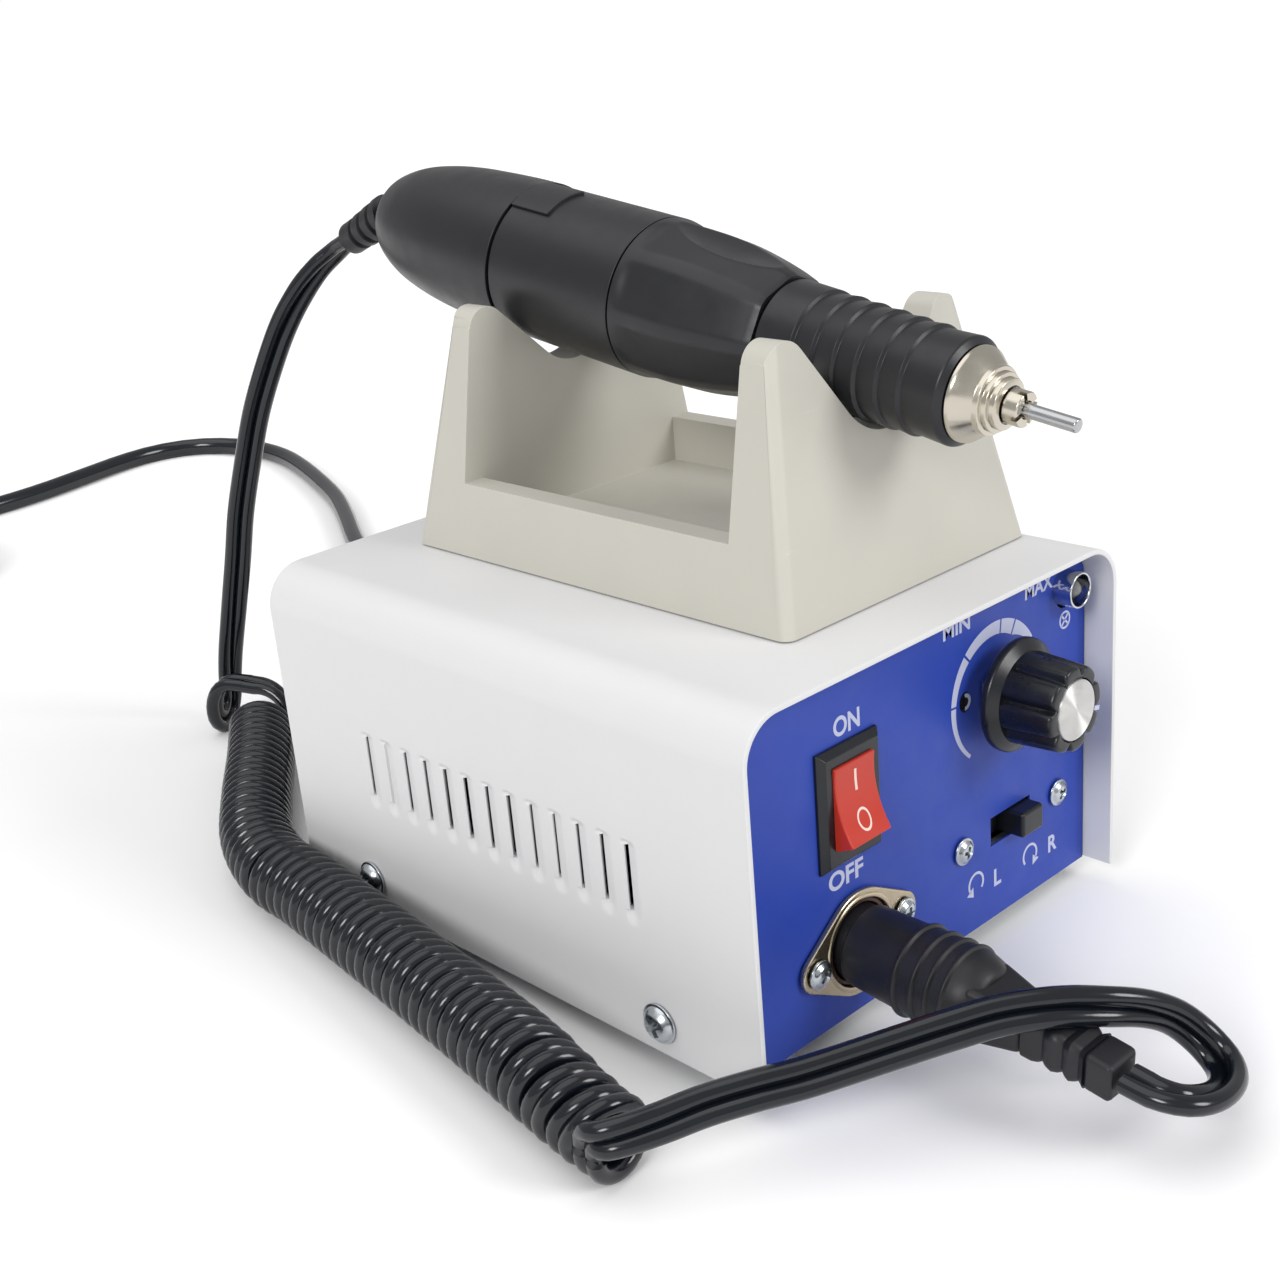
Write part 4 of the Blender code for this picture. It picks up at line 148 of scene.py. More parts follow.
def plated(name, colour, rough, brush=(1.0, 1.0, 1.0), grain=0.35, height=0.004, stain=0.12):
    """A plated or bare metal surface: faint brushing or barrel-finish marks, and patches that the plating
    took a little darker and duller."""
    made, tree, place = begin(name)
    patches = add(tree, "ShaderNodeTexNoise",
                  {"Vector": place, "Scale": 1 / (3 * MM), "Detail": 4.0}).outputs[0]
    darker = tuple(c * (1 - stain) for c in colour[:3]) + (1.0,)
    base = add(tree, "ShaderNodeMix", {0: patches, 6: darker, 7: colour}, data_type='RGBA').outputs[2]
    dull = add(tree, "ShaderNodeMapRange", {"Value": patches, "From Min": 0.3, "From Max": 0.7,
                                            "To Min": rough * 0.75, "To Max": rough * 1.25}).outputs[0]
    drawn = add(tree, "ShaderNodeMapping", {"Vector": place, "Scale": brush}).outputs[0]
    marks = add(tree, "ShaderNodeTexNoise",
                {"Vector": drawn, "Scale": 1 / (grain * MM), "Detail": 3.0}).outputs[0]
    bump = add(tree, "ShaderNodeBump", {"Height": marks, "Distance": height * MM, "Strength": 1.0}).outputs[0]
    close(tree, {"Base Color": base, "Metallic": 1.0, "Roughness": dull, "Normal": bump})
    return made


def turned_metal(name, colour, rough, centre, turn, pitch, height):
    """Metal faced on a lathe: fine rings about the work's axis, which draw a highlight out into a fan."""
    made, tree, place = begin(name)
    back = Matrix.Rotation(turn, 3, 'X').inverted()
    shift = -(back @ (Vector(centre) * MM))
    centred = add(tree, "ShaderNodeMapping",
                  {"Vector": place, "Location": shift, "Rotation": (-turn, 0.0, 0.0)})
    flat = add(tree, "ShaderNodeVectorMath", {0: centred.outputs[0], 1: (1.0, 1.0, 0.0)},
               operation='MULTIPLY')
    reach = add(tree, "ShaderNodeVectorMath", {0: flat.outputs[0]}, operation='LENGTH').outputs["Value"]
    turns = add(tree, "ShaderNodeMath", {0: reach, 1: math.tau / (pitch * MM)},
                operation='MULTIPLY').outputs[0]
    rings = add(tree, "ShaderNodeMath", {0: turns}, operation='SINE').outputs[0]
    uneven = add(tree, "ShaderNodeTexNoise", {"W": turns, "Scale": 0.4, "Detail": 2.0},
                 noise_dimensions='1D').outputs[0]
    cut = add(tree, "ShaderNodeMath", {0: rings, 1: uneven}, operation='MULTIPLY').outputs[0]
    bump = add(tree, "ShaderNodeBump", {"Height": cut, "Distance": height * MM, "Strength": 1.0}).outputs[0]
    darker = tuple(c * 0.9 for c in colour[:3]) + (1.0,)
    base = add(tree, "ShaderNodeMix", {0: uneven, 6: darker, 7: colour}, data_type='RGBA').outputs[2]
    spoke = add(tree, "ShaderNodeVectorMath", {0: place, 1: Vector(centre) * MM},
                operation='SUBTRACT').outputs[0]
    spoke = add(tree, "ShaderNodeVectorTransform", {"Vector": spoke}, vector_type='VECTOR',
                convert_from='OBJECT',
                convert_to='WORLD').outputs[0]
    close(tree, {"Base Color": base, "Metallic": 1.0, "Roughness": rough, "Normal": bump, "Tangent": spoke,
                 "Anisotropic": 0.95})
    return made


def striped(name, pale, dark, way, pitch, rough, metallic=0.0):
    """Layers seen edge on, such as stacked sheets or windings: even lines a real thickness apart."""
    made, tree, place = begin(name)
    turned = add(tree, "ShaderNodeMapping", {"Vector": place, "Scale": way}).outputs[0]
    lines = add(tree, "ShaderNodeTexWave",
                {"Vector": turned, "Scale": 1 / (pitch * MM) / 20, "Distortion": 0.3, "Detail": 1.0},
                bands_direction='DIAGONAL').outputs[1]
    base = add(tree, "ShaderNodeMix", {0: lines, 6: dark, 7: pale}, data_type='RGBA').outputs[2]
    bump = add(tree, "ShaderNodeBump", {"Height": lines, "Distance": 0.05 * MM, "Strength": 1.0}).outputs[0]
    close(tree, {"Base Color": base, "Metallic": metallic, "Roughness": rough, "Normal": bump})
    return made


def make_finish(name):
    """Each finish under its own name, made once."""
    if name in bpy.data.materials:
        return bpy.data.materials[name]
    tints = bpy.context.scene.micromotor_finish
    # Polyester powder coat on sheet steel: satin, with a soft orange peel about a millimetre across
    if name == "powder_coat":
        return moulded(name, tints.cover[:], 0.42, 1.1, 0.006, mottle=0.015)
    # Screen-printed polycarbonate film: satin, with a velvet texture that breaks up reflections
    if name == "printed_film":
        return moulded(name, tints.label[:], 0.45, 0.3, 0.005, mottle=0.08, ior=1.4)
    # Screen ink, the colour of the bare ground under the blue
    if name == "screen_ink":
        return moulded(name, srgb("C3C8E2"), 0.5, 0.25, 0.004, mottle=0.06)
    # Moulded ABS with a fine spark-eroded grain, rubbed by tools
    if name == "moulded_abs":
        return moulded(name, tints.cradle[:], 0.46, 0.5, 0.006, mottle=0.03, scuffs=0.12, ior=1.53)
    # Moulded black ABS: glossy, finely scratched by hands
    if name == "black_abs":
        return moulded(name, srgb("14161C"), 0.3, 0.6, 0.005, mottle=0.15, scuffs=0.04, ior=1.5)
    # Glass-filled nylon with a fine dark grain, polished by grips on its high places
    if name == "handpiece_nylon":
        return moulded(name, tints.handpiece[:], 0.37, 0.4, 0.008, mottle=0.12, scuffs=0.05, ior=1.5)
    # Moulded soft PVC: dark and half matt, with dust that clings to it
    if name == "soft_pvc":
        return moulded(name, srgb("16171C"), 0.46, 0.5, 0.01, mottle=0.2, scuffs=0.08, ior=1.5)
    # Extruded PVC cord sheath: slick, with faint lengthwise unevenness
    if name == "cord_pvc":
        return moulded(name, tints.cord[:], 0.17, 1.6, 0.008, mottle=0.12, ior=1.52)
    # Moulded red polycarbonate rocker: slick, barely grained
    if name == "red_polycarbonate":
        return moulded(name, tints.rocker[:], 0.36, 0.7, 0.004, mottle=0.04, ior=1.5)
    # Pad-printed mark on the rocker
    if name == "pad_print":
        return moulded(name, srgb("F2D9CF"), 0.45, 0.3, 0.003, mottle=0.03)
    # Brown phenolic board: dull, with a mottled filler
    if name == "phenolic":
        return moulded(name, srgb("4A2C1E"), 0.5, 0.4, 0.01, mottle=0.3, ior=1.6)
    # Polyester tape round the winding: slick and amber
    if name == "polyester_tape":
        return moulded(name, srgb("B08A3C"), 0.35, 2.0, 0.03, mottle=0.15)
    # Solder mask over copper tracks: glossy green, raised where the tracks run
    if name == "solder_mask":
        return moulded(name, srgb("2C6B3C"), 0.3, 1.4, 0.05, mottle=0.3)
    # Clear epoxy lamp body: water clear with a little haze
    if name == "clear_epoxy":
        made = moulded(name, srgb("E4E2E0"), 0.12, 1.0, 0.004, mottle=0.03, ior=1.55)
        shader = [n for n in made.node_tree.nodes if n.type == 'BSDF_PRINCIPLED'][0]
        shader.inputs["Transmission Weight"].default_value = 0.25
        return made
    # Zinc-plated steel, blue passivated: bright, with cooler and duller patches
    if name == "zinc_plate":
        return plated(name, srgb("CDD3D8"), 0.24, grain=0.5, height=0.01, stain=0.25)
    # Galvanised sheet: grey, with soft spangle
    if name == "galvanised_sheet":
        return plated(name, srgb("B4B8BB"), 0.42, grain=2.0, height=0.01, stain=0.2)
    # Nickel plate over brass: warm, barrel finished
    if name == "nickel_brass":
        return plated(name, srgb("D2C3A6"), 0.26, grain=0.4, height=0.008, stain=0.25)
    # Chrome on a turned brass tube: nearly a mirror
    if name == "chrome":
        return plated(name, srgb("DDDFE2"), 0.3, grain=0.8, height=0.003, stain=0.1)
    # Ground bearing and tool steel
    if name == "ground_steel":
        return plated(name, srgb("BFC0C2"), 0.25, brush=(1.0, 6.0, 1.0), grain=0.3, height=0.006)
    # Facing marks of turned aluminium under clear lacquer
    if name == "turned_aluminium":
        return turned_metal(name, srgb("E4E3E1"), 0.5, (20.8, LABEL_FACE, 48.2), math.radians(90.0), 0.22,
                            0.012)
    # Nickel-plated steel, turned: bright with fine rings
    if name == "turned_nickel":
        return plated(name, srgb("D2CBBD"), 0.22, brush=(0.4, 4.0, 0.4), grain=0.3, height=0.006)
    # Cast and turned aluminium end bell
    if name == "cast_aluminium":
        return plated(name, srgb("C6C8CA"), 0.4, grain=0.8, height=0.02)
    # Stacked transformer plates, 0.5 mm each, drawn 1 mm apart so that they show
    if name == "core_plates":
        return striped(name, srgb("8A8D90"), srgb("4C4E52"), (0.0, 3.0, 0.0), 1.0, 0.45, 1.0)
    # Enamelled copper wire, 0.4 mm, drawn 0.8 mm apart so that it shows
    if name == "enamelled_copper":
        return striped(name, srgb("C9773F"), srgb("6E3415"), (0.0, 3.0, 0.6), 0.8, 0.32, 1.0)
    raise RuntimeError(f"there is no finish called {name}")


# Shape helpers, all in millimetres

def facing_front(x, z, y=None, turn=0.0):
    """A place on the front whose local Z points out of it."""
    spot = Matrix.Translation((x, LABEL_FACE if y is None else y, z))
    return spot @ Matrix.Rotation(math.radians(90.0) + turn, 4, 'X')


def facing_rear(x, z):
    return Matrix.Translation((x, REAR_FACE, z)) @ Matrix.Rotation(math.radians(-90.0), 4, 'X')


def on_axis(along=0.0):
    """A place on the handpiece's axis; local Z runs to the nose and local Y points up."""
    spot = Matrix.Translation((AXIS_X, CASE_Y, AXIS_HEIGHT))
    return spot @ Matrix.Rotation(math.radians(90.0) + NOSE_DROP, 4, 'X') @ Matrix.Translation((0, 0, along))


def block(size, centre=(0, 0, 0), shape=None):
    shape = shape or bmesh.new()
    place = Matrix.Translation(centre) @ Matrix.Diagonal((*size, 1.0))
    bmesh.ops.create_cube(shape, size=1.0, matrix=place)
    return shape


def rounded(shape, edges, width, segments=3):
    bmesh.ops.bevel(shape, geom=list(edges), offset=width, offset_type='OFFSET', segments=segments,
                    profile=0.5, affect='EDGES', material=-1, clamp_overlap=True)


def soften(shape, width, segments=3, sharper=35.0, chosen=lambda edge: True):
    """Rounds the edges that are sharper than an angle in degrees."""
    bmesh.ops.recalc_face_normals(shape, faces=shape.faces)
    rounded(shape, [e for e in shape.edges if len(e.link_faces) == 2 and chosen(e)
                    and e.calc_face_angle(0.0) > math.radians(sharper)], width, segments)
    return shape


def lathe(profile, sides=96, place=None, shape=None):
    """Spins a closed outline of (radius, height) points; a third number rounds that corner first."""
    made = bmesh.new()
    spots = [made.verts.new((point[0], 0, point[1])) for point in profile]
    for pair in zip(spots, spots[1:] + spots[:1]):
        made.edges.new(pair)
    widths = {}
    for spot, point in zip(spots, profile):
        if len(point) > 2:
            widths.setdefault(point[2], []).append(spot)
    for width, corners in widths.items():
        bmesh.ops.bevel(made, geom=corners, offset=width, offset_type='OFFSET', segments=4, profile=0.5,
                        affect='VERTICES', material=-1)
    bmesh.ops.spin(made, geom=list(made.verts) + list(made.edges), cent=(0, 0, 0), axis=(0, 0, 1),
                   angle=math.tau, steps=sides, use_merge=True)
    bmesh.ops.remove_doubles(made, verts=made.verts, dist=0.0005)
    bmesh.ops.delete(made, geom=[e for e in made.edges if not e.link_faces], context='EDGES')
    if place is not None:
        bmesh.ops.transform(made, matrix=place, verts=made.verts)
    return merged(shape, made)


def merged(shape, made):
    """Adds one bmesh to another and frees it."""
    if shape is None:
        return made
    carrier = bpy.data.meshes.new("carrier")
    made.to_mesh(carrier)
    made.free()
    shape.from_mesh(carrier)
    bpy.data.meshes.remove(carrier)
    return shape


def drawn(outline, depth, place=None):
    """Closes a flat outline of (x, y) points and extrudes it along Z."""
    made = bmesh.new()
    spots = [made.verts.new((x, y, 0)) for x, y in outline]
    lines = [made.edges.new(pair) for pair in zip(spots, spots[1:] + spots[:1])]
    bmesh.ops.contextual_create(made, geom=lines)
    pulled = bmesh.ops.extrude_face_region(made, geom=list(made.faces))
    bmesh.ops.translate(made, vec=(0, 0, depth), verts=[v for v in pulled["geom"]
                                                        if isinstance(v, bmesh.types.BMVert)])
    bmesh.ops.recalc_face_normals(made, faces=made.faces)
    if place is not None:
        bmesh.ops.transform(made, matrix=place, verts=made.verts)
    return made


def arc(x, y, radius, start, end, steps):
    """Points on an arc, angles in degrees, both ends included."""
    turns = [math.radians(start + (end - start) * i / steps) for i in range(steps + 1)]
    return [(x + radius * math.cos(t), y + radius * math.sin(t)) for t in turns]


def carved(shape, tool, how='DIFFERENCE'):
    """Cuts one closed mesh with another, or joins the two."""
    parts = []
    for part in (shape, tool):
        bmesh.ops.recalc_face_normals(part, faces=part.faces)
        mesh = bpy.data.meshes.new("rough")
        part.to_mesh(mesh)
        part.free()
        parts.append(bpy.data.objects.new("rough", mesh))
        bpy.context.scene.collection.objects.link(parts[-1])
    modifier = parts[0].modifiers.new("cut", 'BOOLEAN')
    modifier.operation = how
    modifier.object = parts[1]
    modifier.solver = 'EXACT'
    bpy.context.view_layer.update()
    result = bmesh.new()
    result.from_object(parts[0], bpy.context.evaluated_depsgraph_get())
    for part in parts:
        mesh = part.data
        bpy.data.objects.remove(part, do_unlink=True)
        bpy.data.meshes.remove(mesh)
    bmesh.ops.dissolve_limit(result, angle_limit=math.radians(0.5), verts=result.verts, edges=result.edges)
    return result


def eased(share):
    share = min(max(share, 0.0), 1.0)
    return share * share * (3 - 2 * share)


def soft_least(a, b, blend):
    """The lesser of two lengths, with the change from one to the other smoothed."""
    part = max(blend - abs(a - b), 0.0) / blend
    return min(a, b) - part * part * blend / 4


def put(shape, name, surface, nodes=(), body="unit", angle=35.0, even=True, outward=True):
    """Makes the finished piece: metres, smooth shading, its finish, its body and the nodes it stands for."""
    if outward:
        bmesh.ops.recalc_face_normals(shape, faces=shape.faces)
    bmesh.ops.scale(shape, vec=(MM, MM, MM), verts=shape.verts)
    mesh = bpy.data.meshes.new(name)
    shape.to_mesh(mesh)
    shape.free()
    mesh.materials.append(make_finish(surface))
    mesh.shade_smooth()
    mesh.set_sharp_from_angle(angle=math.radians(angle))
    made = bpy.data.objects.new(name, mesh)
    bpy.context.scene.collection.objects.link(made)
    if even:
        modifier = made.modifiers.new("even_shading", 'WEIGHTED_NORMAL')
        modifier.keep_sharp = True
    if body:
        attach(made, body)
    if nodes:
        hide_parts(*nodes)
    return made


# Camera

def place_camera():
    """A short telephoto view from the front left, a little above the box."""
    yaw, pitch, roll = -0.7388251431483643, 0.36685220952255415, -0.08789239555458973
    back = Vector((math.sin(yaw) * math.cos(pitch), -math.cos(yaw) * math.cos(pitch), math.sin(pitch)))
    right = Vector((math.cos(yaw), math.sin(yaw), 0.0))
    up = back.cross(right)
    side = right * math.cos(roll) + up * math.sin(roll)
    top = up * math.cos(roll) - right * math.sin(roll)
    turn = Matrix((side, top, back)).transposed().to_4x4()
    spot = Vector((-212.9715, -222.2661 + CASE_Y, 166.7878 + CASE_BOTTOM)) * MM
    lens = bpy.data.cameras.new("camera")
    lens.sensor_width = 36.0
    lens.lens = 49.858
    lens.clip_start = 0.01
    camera = bpy.data.objects.new("camera", lens)
    bpy.context.scene.collection.objects.link(camera)
    camera.matrix_world = Matrix.Translation(spot) @ turn
    bpy.context.scene.camera = camera


# Cords

HANDPIECE_CORD_ROUTE = [
    (-13.7, 126.0, 14.3), (-15.5, 129.8, 14.4), (-17.2, 132.6, 13.2), (-18.4, 134.6, 9.6),
    (-18.4, 135.4, 5.4), (-16.4, 136.6, 3.0), (-13.2, 138.8, 3.6), (-10.9, 140.2, 7.4),
    (-10.0, 140.2, 13.0), (-9.4, 138.8, 19.6), (-8.7, 135.5, 29.7), (-7.5, 131.5, 43.1),
    (-6.5, 127.7, 56.1), (-5.1, 122.4, 70.0), (-3.7, 118.0, 80.9), (-1.6, 112.9, 91.5),
    (0.6, 107.9, 100.6), (3.3, 103.2, 107.8), (6.4, 99.6, 112.8), (9.2, 96.8, 115.8),
    (10.0, 94.5, 117.4), (10.0, 90.7, 119.0),
]
FRONT_LEAD_ROUTE = [
    (-19.2, -119.3, 12.9), (-19.2, -123.5, 12.4), (-17.4, -127.2, 11.7), (-13.4, -128.8, 10.5),
    (-8.4, -128.6, 9.1), (-4.0, -127.0, 8.2), (-1.0, -124.2, 8.4), (-0.9, -120.6, 11.0),
    (-3.6, -117.8, 14.6), (-8.2, -115.6, 17.6), (-14.0, -112.8, 19.8), (-20.4, -108.0, 21.0),
    (-26.8, -102.8, 20.8),
    (-33.3, -98.4, 19.8), (-39.0, -94.2, 18.4), (-45.7, -89.4, 16.8), (-51.8, -85.0, 15.4),
    (-58.0, -81.0, 14.8), (-64.2, -77.2, 14.0), (-70.4, -74.3, 13.2), (-75.4, -71.9, 12.8),
    (-78.2, -69.2, 12.0),
]
CURLY_AXIS = [
    (-72.2, -67.4), (-71.0, -55.4), (-67.2, -33.4), (-63.2, -5.4), (-60.3, 16.6), (-58.0, 36.0),
    (-56.9, 49.0), (-51.6, 64.0), (-41.6, 80.0), (-28.6, 98.6), (-17.4, 115.6),
]
MAINS_LEAD_ROUTE = [
    (22.0, 73.7, 20.0), (22.0, 79.9, 20.0), (22.3, 86.0, 19.0), (23.4, 93.0, 16.2), (25.6, 100.0, 11.8),
    (28.6, 107.0, 7.2), (32.4, 114.0, 4.2), (37.0, 121.6, 3.2), (43.0, 132.0, 3.2), (56.0, 161.6, 3.2),
    (73.0, 194.6, 3.2), (90.0, 228.6, 3.2), (104.0, 253.6, 3.2), (116.0, 276.6, 3.2), (126.0, 301.6, 3.2),
    (134.0, 324.6, 3.2), (139.0, 343.6, 3.2), (140.4, 361.0, 3.2), (137.6, 378.6, 3.2), (129.0, 392.6, 3.2),
    (116.0, 399.0, 3.2), (100.0, 398.6, 3.2), (79.0, 393.0, 3.2), (60.0, 388.0, 3.2), (42.0, 385.6, 3.2),
    (22.0, 385.8, 3.2), (2.0, 387.0, 3.2), (-12.0, 386.6, 3.2), (-23.4, 385.1, 3.2), (-29.6, 384.1, 3.2),
]
CURLS = 30
CURL_STEPS = 36
FIRST_STATION = 9
CURL_RADIUS = 7.7
MAINS_RADIUS = 3.1


def curve_through(points):
    """A smooth curve through the points, sampled finely."""
    points = [Vector(p) for p in points]
    ends = [2 * points[0] - points[1]] + points + [2 * points[-1] - points[-2]]
    fine = []
    for a, b, c, d in zip(ends, ends[1:], ends[2:], ends[3:]):
        for i in range(24):
            t = i / 24
            fine.append(0.5 * ((2 * b) + (c - a) * t + (2 * a - 5 * b + 4 * c - d) * t * t
                               + (3 * b - a - 3 * c + d) * t ** 3))
    return fine + [points[-1]]


def spaced(fine, count):
    """Points at equal distances along a finely sampled curve, and its length."""
    lengths = [0.0]
    for a, b in zip(fine, fine[1:]):
        lengths.append(lengths[-1] + (b - a).length)
    found = []
    k = 0
    for i in range(count + 1):
        wanted = lengths[-1] * i / count
        while k < len(fine) - 2 and lengths[k + 1] < wanted:
            k += 1
        share = (wanted - lengths[k]) / (lengths[k + 1] - lengths[k])
        found.append(fine[k].lerp(fine[k + 1], min(max(share, 0.0), 1.0)))
    return found, lengths[-1]


def cord_points(route, spacing):
    """Evenly spaced points on the curve through a route whose first and last steps are straight."""
    inner = curve_through(route)[24:-24]
    count = round(spaced(inner, 1)[1] / spacing)
    first, last = Vector(route[0]), Vector(route[-1])
    middle = spaced(inner, count)[0]
    lead = max(round((middle[0] - first).length / spacing), 1)
    tail = max(round((last - middle[-1]).length / spacing), 1)
    return ([first.lerp(middle[0], i / lead) for i in range(lead)] + middle
            + [middle[-1].lerp(last, (i + 1) / tail) for i in range(tail)])


def twin_section(lobe):
    """Outline of a twin cord, two round lobes that meet in a groove, wide side first."""
    offset = lobe * 0.98
    meet = math.degrees(math.acos(-offset / lobe)) - 0.5
    right = arc(offset, 0, lobe, -meet, meet, 12)
    return right + [(-x, -y) for x, y in right]


def headings(points):
    final = len(points) - 1
    return [(points[min(i + 1, final)] - points[max(i - 1, 0)]).normalized() for i in range(final + 1)]


def turned_runs(points, wide_ways):
    """Stations (middle, wide way, thick way) along a cord whose wide way is given at some shares of it."""
    ways = headings(points)
    carried = [wide_ways[0][1].normalized()]
    for way in ways[1:]:
        carried.append((carried[-1] - way * way.dot(carried[-1])).normalized())
    final = len(points) - 1
    keys = []
    for share, wanted in wide_ways:
        i = round(share * final)
        across = ways[i].cross(carried[i])
        turn = math.atan2(wanted.dot(across), wanted.dot(carried[i]))
        last = keys[-1][1] if keys else 0.0
        turn -= math.pi * round((turn - last) / math.pi)
        keys.append((i, turn))
    runs = []
    for i, point in enumerate(points):
        after = next(k for k in range(1, len(keys)) if i <= keys[k][0])
        (low, first), (high, last) = keys[after - 1], keys[after]
        turn = first + (last - first) * eased((i - low) / max(high - low, 1))
        across = ways[i].cross(carried[i])
        wide = carried[i] * math.cos(turn) + across * math.sin(turn)
        runs.append((point, wide, ways[i].cross(wide)))
    return runs


def skinned(section, runs):
    """A closed tube of one section along its stations."""
    shape = bmesh.new()
    rings = [[shape.verts.new(spot + wide * a + thick * b) for a, b in section] for spot, wide, thick in runs]
    for ring in (rings[0], rings[-1]):
        bmesh.ops.contextual_create(shape, geom=[shape.edges.new(p) for p in zip(ring, ring[1:] + ring[:1])])
    for low, high in zip(rings, rings[1:]):
        for i in range(len(low)):
            shape.faces.new((low[i - 1], low[i], high[i], high[i - 1]))
    return shape


def curly_runs(lobe):
    """Stations of the curly cord: its curls turn left over the top as they run back from the front."""
    lift = CURL_RADIUS + 0.2
    mean = CURL_RADIUS - lobe
    steps = CURLS * CURL_STEPS
    path = spaced(curve_through([(x, y, lift) for x, y in CURLY_AXIS]), steps)[0]
    up = Vector((0, 0, 1))
    spots = []
    for index, (centre, along) in enumerate(zip(path, headings(path))):
        right = along.cross(up)
        angle = math.pi / 2 + math.tau * index / CURL_STEPS
        outward = right * math.cos(angle) + up * math.sin(angle)
        last = max(1 - (steps - index) / CURL_STEPS, 0.0)
        tight = eased((160 - index) / 150)
        centre = centre - up * 0.14 * mean * tight
        lean = 9.0 * last * last - 2.2 * tight * max(math.sin(angle), 0.0)
        spots.append((centre + outward * mean * (1 - 0.14 * tight) + along * lean, outward))
    spots = spots[FIRST_STATION:]
    ways = headings([spot for spot, outward in spots])
    runs = []
    for (spot, outward), way in zip(spots, ways):
        thick = (outward - way * outward.dot(way)).normalized()
        runs.append((spot, way.cross(thick), thick))
    spot, wide, thick = runs[-1]
    runs.append((spot + ways[-1] * 2 * lobe, wide, thick))
    return runs


def side_on(points, share):
    """The wide way that shows a cord's broad side to the camera at a share of its length."""
    index = round(share * (len(points) - 1))
    sight = points[index] - bpy.context.scene.camera.location / MM
    return sight.cross(headings(points)[index])


def make_twin_cords():
    """The twin cord: a stretch that hangs from the handpiece, and the curls with their lead to the plug."""
    lobe = bpy.context.scene.micromotor_cords.lobe / MM
    curls = curly_runs(lobe)
    hanging = cord_points(HANDPIECE_CORD_ROUTE, 1.5)
    slack = turned_runs(hanging, [(0.0, curls[-1][1]), (0.42, side_on(hanging, 0.42)),
                                  (0.8, side_on(hanging, 0.8)), (1.0, Vector((1, 0, 0)))])
    start = curls[0][0]
    way = (curls[1][0] - start).normalized()
    front = cord_points(FRONT_LEAD_ROUTE + [tuple(start - way * 3.5), tuple(start)], 1.5)
    lead = turned_runs(front, [(0.0, Vector((1, 0, 0))), (0.24, Vector((0.2, -0.3, 1.0))),
                               (0.46, side_on(front, 0.46)), (0.8, side_on(front, 0.8)), (1.0, curls[0][1])])
    if lead[-1][1].dot(curls[0][1]) < 0:
        lead = [(spot, -wide, -thick) for spot, wide, thick in lead]
    made = put(skinned(twin_section(lobe), slack), "hanging_cord", "cord_pvc",
               ["handpiece_cord"],
               body=None, angle=50.0, even=False)
    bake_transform(made)
    runs = lead[:-1] + curls
    made = put(skinned(twin_section(lobe), runs), "curly_lead", "cord_pvc",
               ["curly_cord", "front_lead"], angle=50.0, even=False)


def make_mains_lead():
    """The mains lead as one curve: out of its bushing, along the table and into a flat coil."""
    points = cord_points(MAINS_LEAD_ROUTE, 8.0)[:-1]
    inner = 34.0 - 6.9 * 5 / 4
    coil = []
    for index in range(5 * 24 + 1):
        angle = math.pi / 2 + math.tau * index / 24
        radius = inner + 6.9 * abs(index - 60) / 24
        climb = eased((index - 60) / 12 + 0.5)
        coil.append(Vector((-36.0 + radius * math.cos(angle), 340.5 + radius * math.sin(angle),
                            3.2 + 6.7 * climb)))
    heading = (coil[-1] - coil[-2]).normalized()
    tail = [coil[-1] + heading * 2 * MAINS_RADIUS * step for step in range(1, 5)]
    points = [p * MM for p in points + coil + tail]
    curve = bpy.data.curves.new("mains_cord", 'CURVE')
    curve.dimensions = '3D'
    line = curve.splines.new('POLY')
    line.points.add(len(points) - 1)
    for spot, point in zip(line.points, points):
        spot.co = (*point, 1.0)
    curve.bevel_depth = MAINS_RADIUS * MM
    curve.bevel_resolution = 6
    curve.use_fill_caps = True
    curve.materials.append(make_finish("cord_pvc"))
    made = bpy.data.objects.new("mains_cord", curve)
    bpy.context.scene.collection.objects.link(made)
    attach(made, "unit")
    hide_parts("mains_lead", "mains_coil")
    make_mains_plug((points[-1] / MM) + heading * 0.3, math.atan2(heading.y, heading.x))


def make_mains_plug(end, heading):
    """A two-pin plug: bulged grip, ribbed tail and plated pins."""
    turn = (Matrix.Translation(end) @ Matrix.Rotation(heading, 4, 'Z')
            @ Matrix.Rotation(math.radians(90.0), 4, 'Y'))
    body = block((19.0, 28.0, 36.0), (0, 0, 40.0))
    rounded(body, body.edges, 3.0, 4)
    bmesh.ops.bisect_plane(body, geom=list(body.verts) + list(body.edges) + list(body.faces),
                           plane_co=(0, 0, 36.0), plane_no=(0, 0, 1))
    for spot in body.verts:
        spot.co.y *= 1 - 0.1 * eased((52 - spot.co.z) / 30)
    tail = [(0, 0), (4.4, 0, 0.5)]
    for index in range(5):
        radius = 4.5 + 0.28 * index
        at = 3.0 + 4.0 * index
        tail += [(radius + 0.3, at - 0.4, 0.3), (radius - 0.5, at, 0.2), (radius - 0.5, at + 1.2, 0.2),
                 (radius + 0.4, at + 1.6, 0.3)]
    tail += [(6.4, 25.0), (0, 25.0)]
    body = lathe(tail, 48, shape=body)
    bmesh.ops.transform(body, matrix=turn, verts=body.verts)
    put(body, "mains_plug_body", "soft_pvc", ["mains_plug"])
    pins = bmesh.new()
    for side in (-1, 1):
        pin = [(0, 52.0), (2.0, 52.0), (2.0, 76.0, 1.2), (0, 76.0)]
        lathe(pin, 32, turn @ Matrix.Translation((0, side * 9.2, 0)), pins)
    put(pins, "mains_plug_pins", "turned_nickel")


# Case

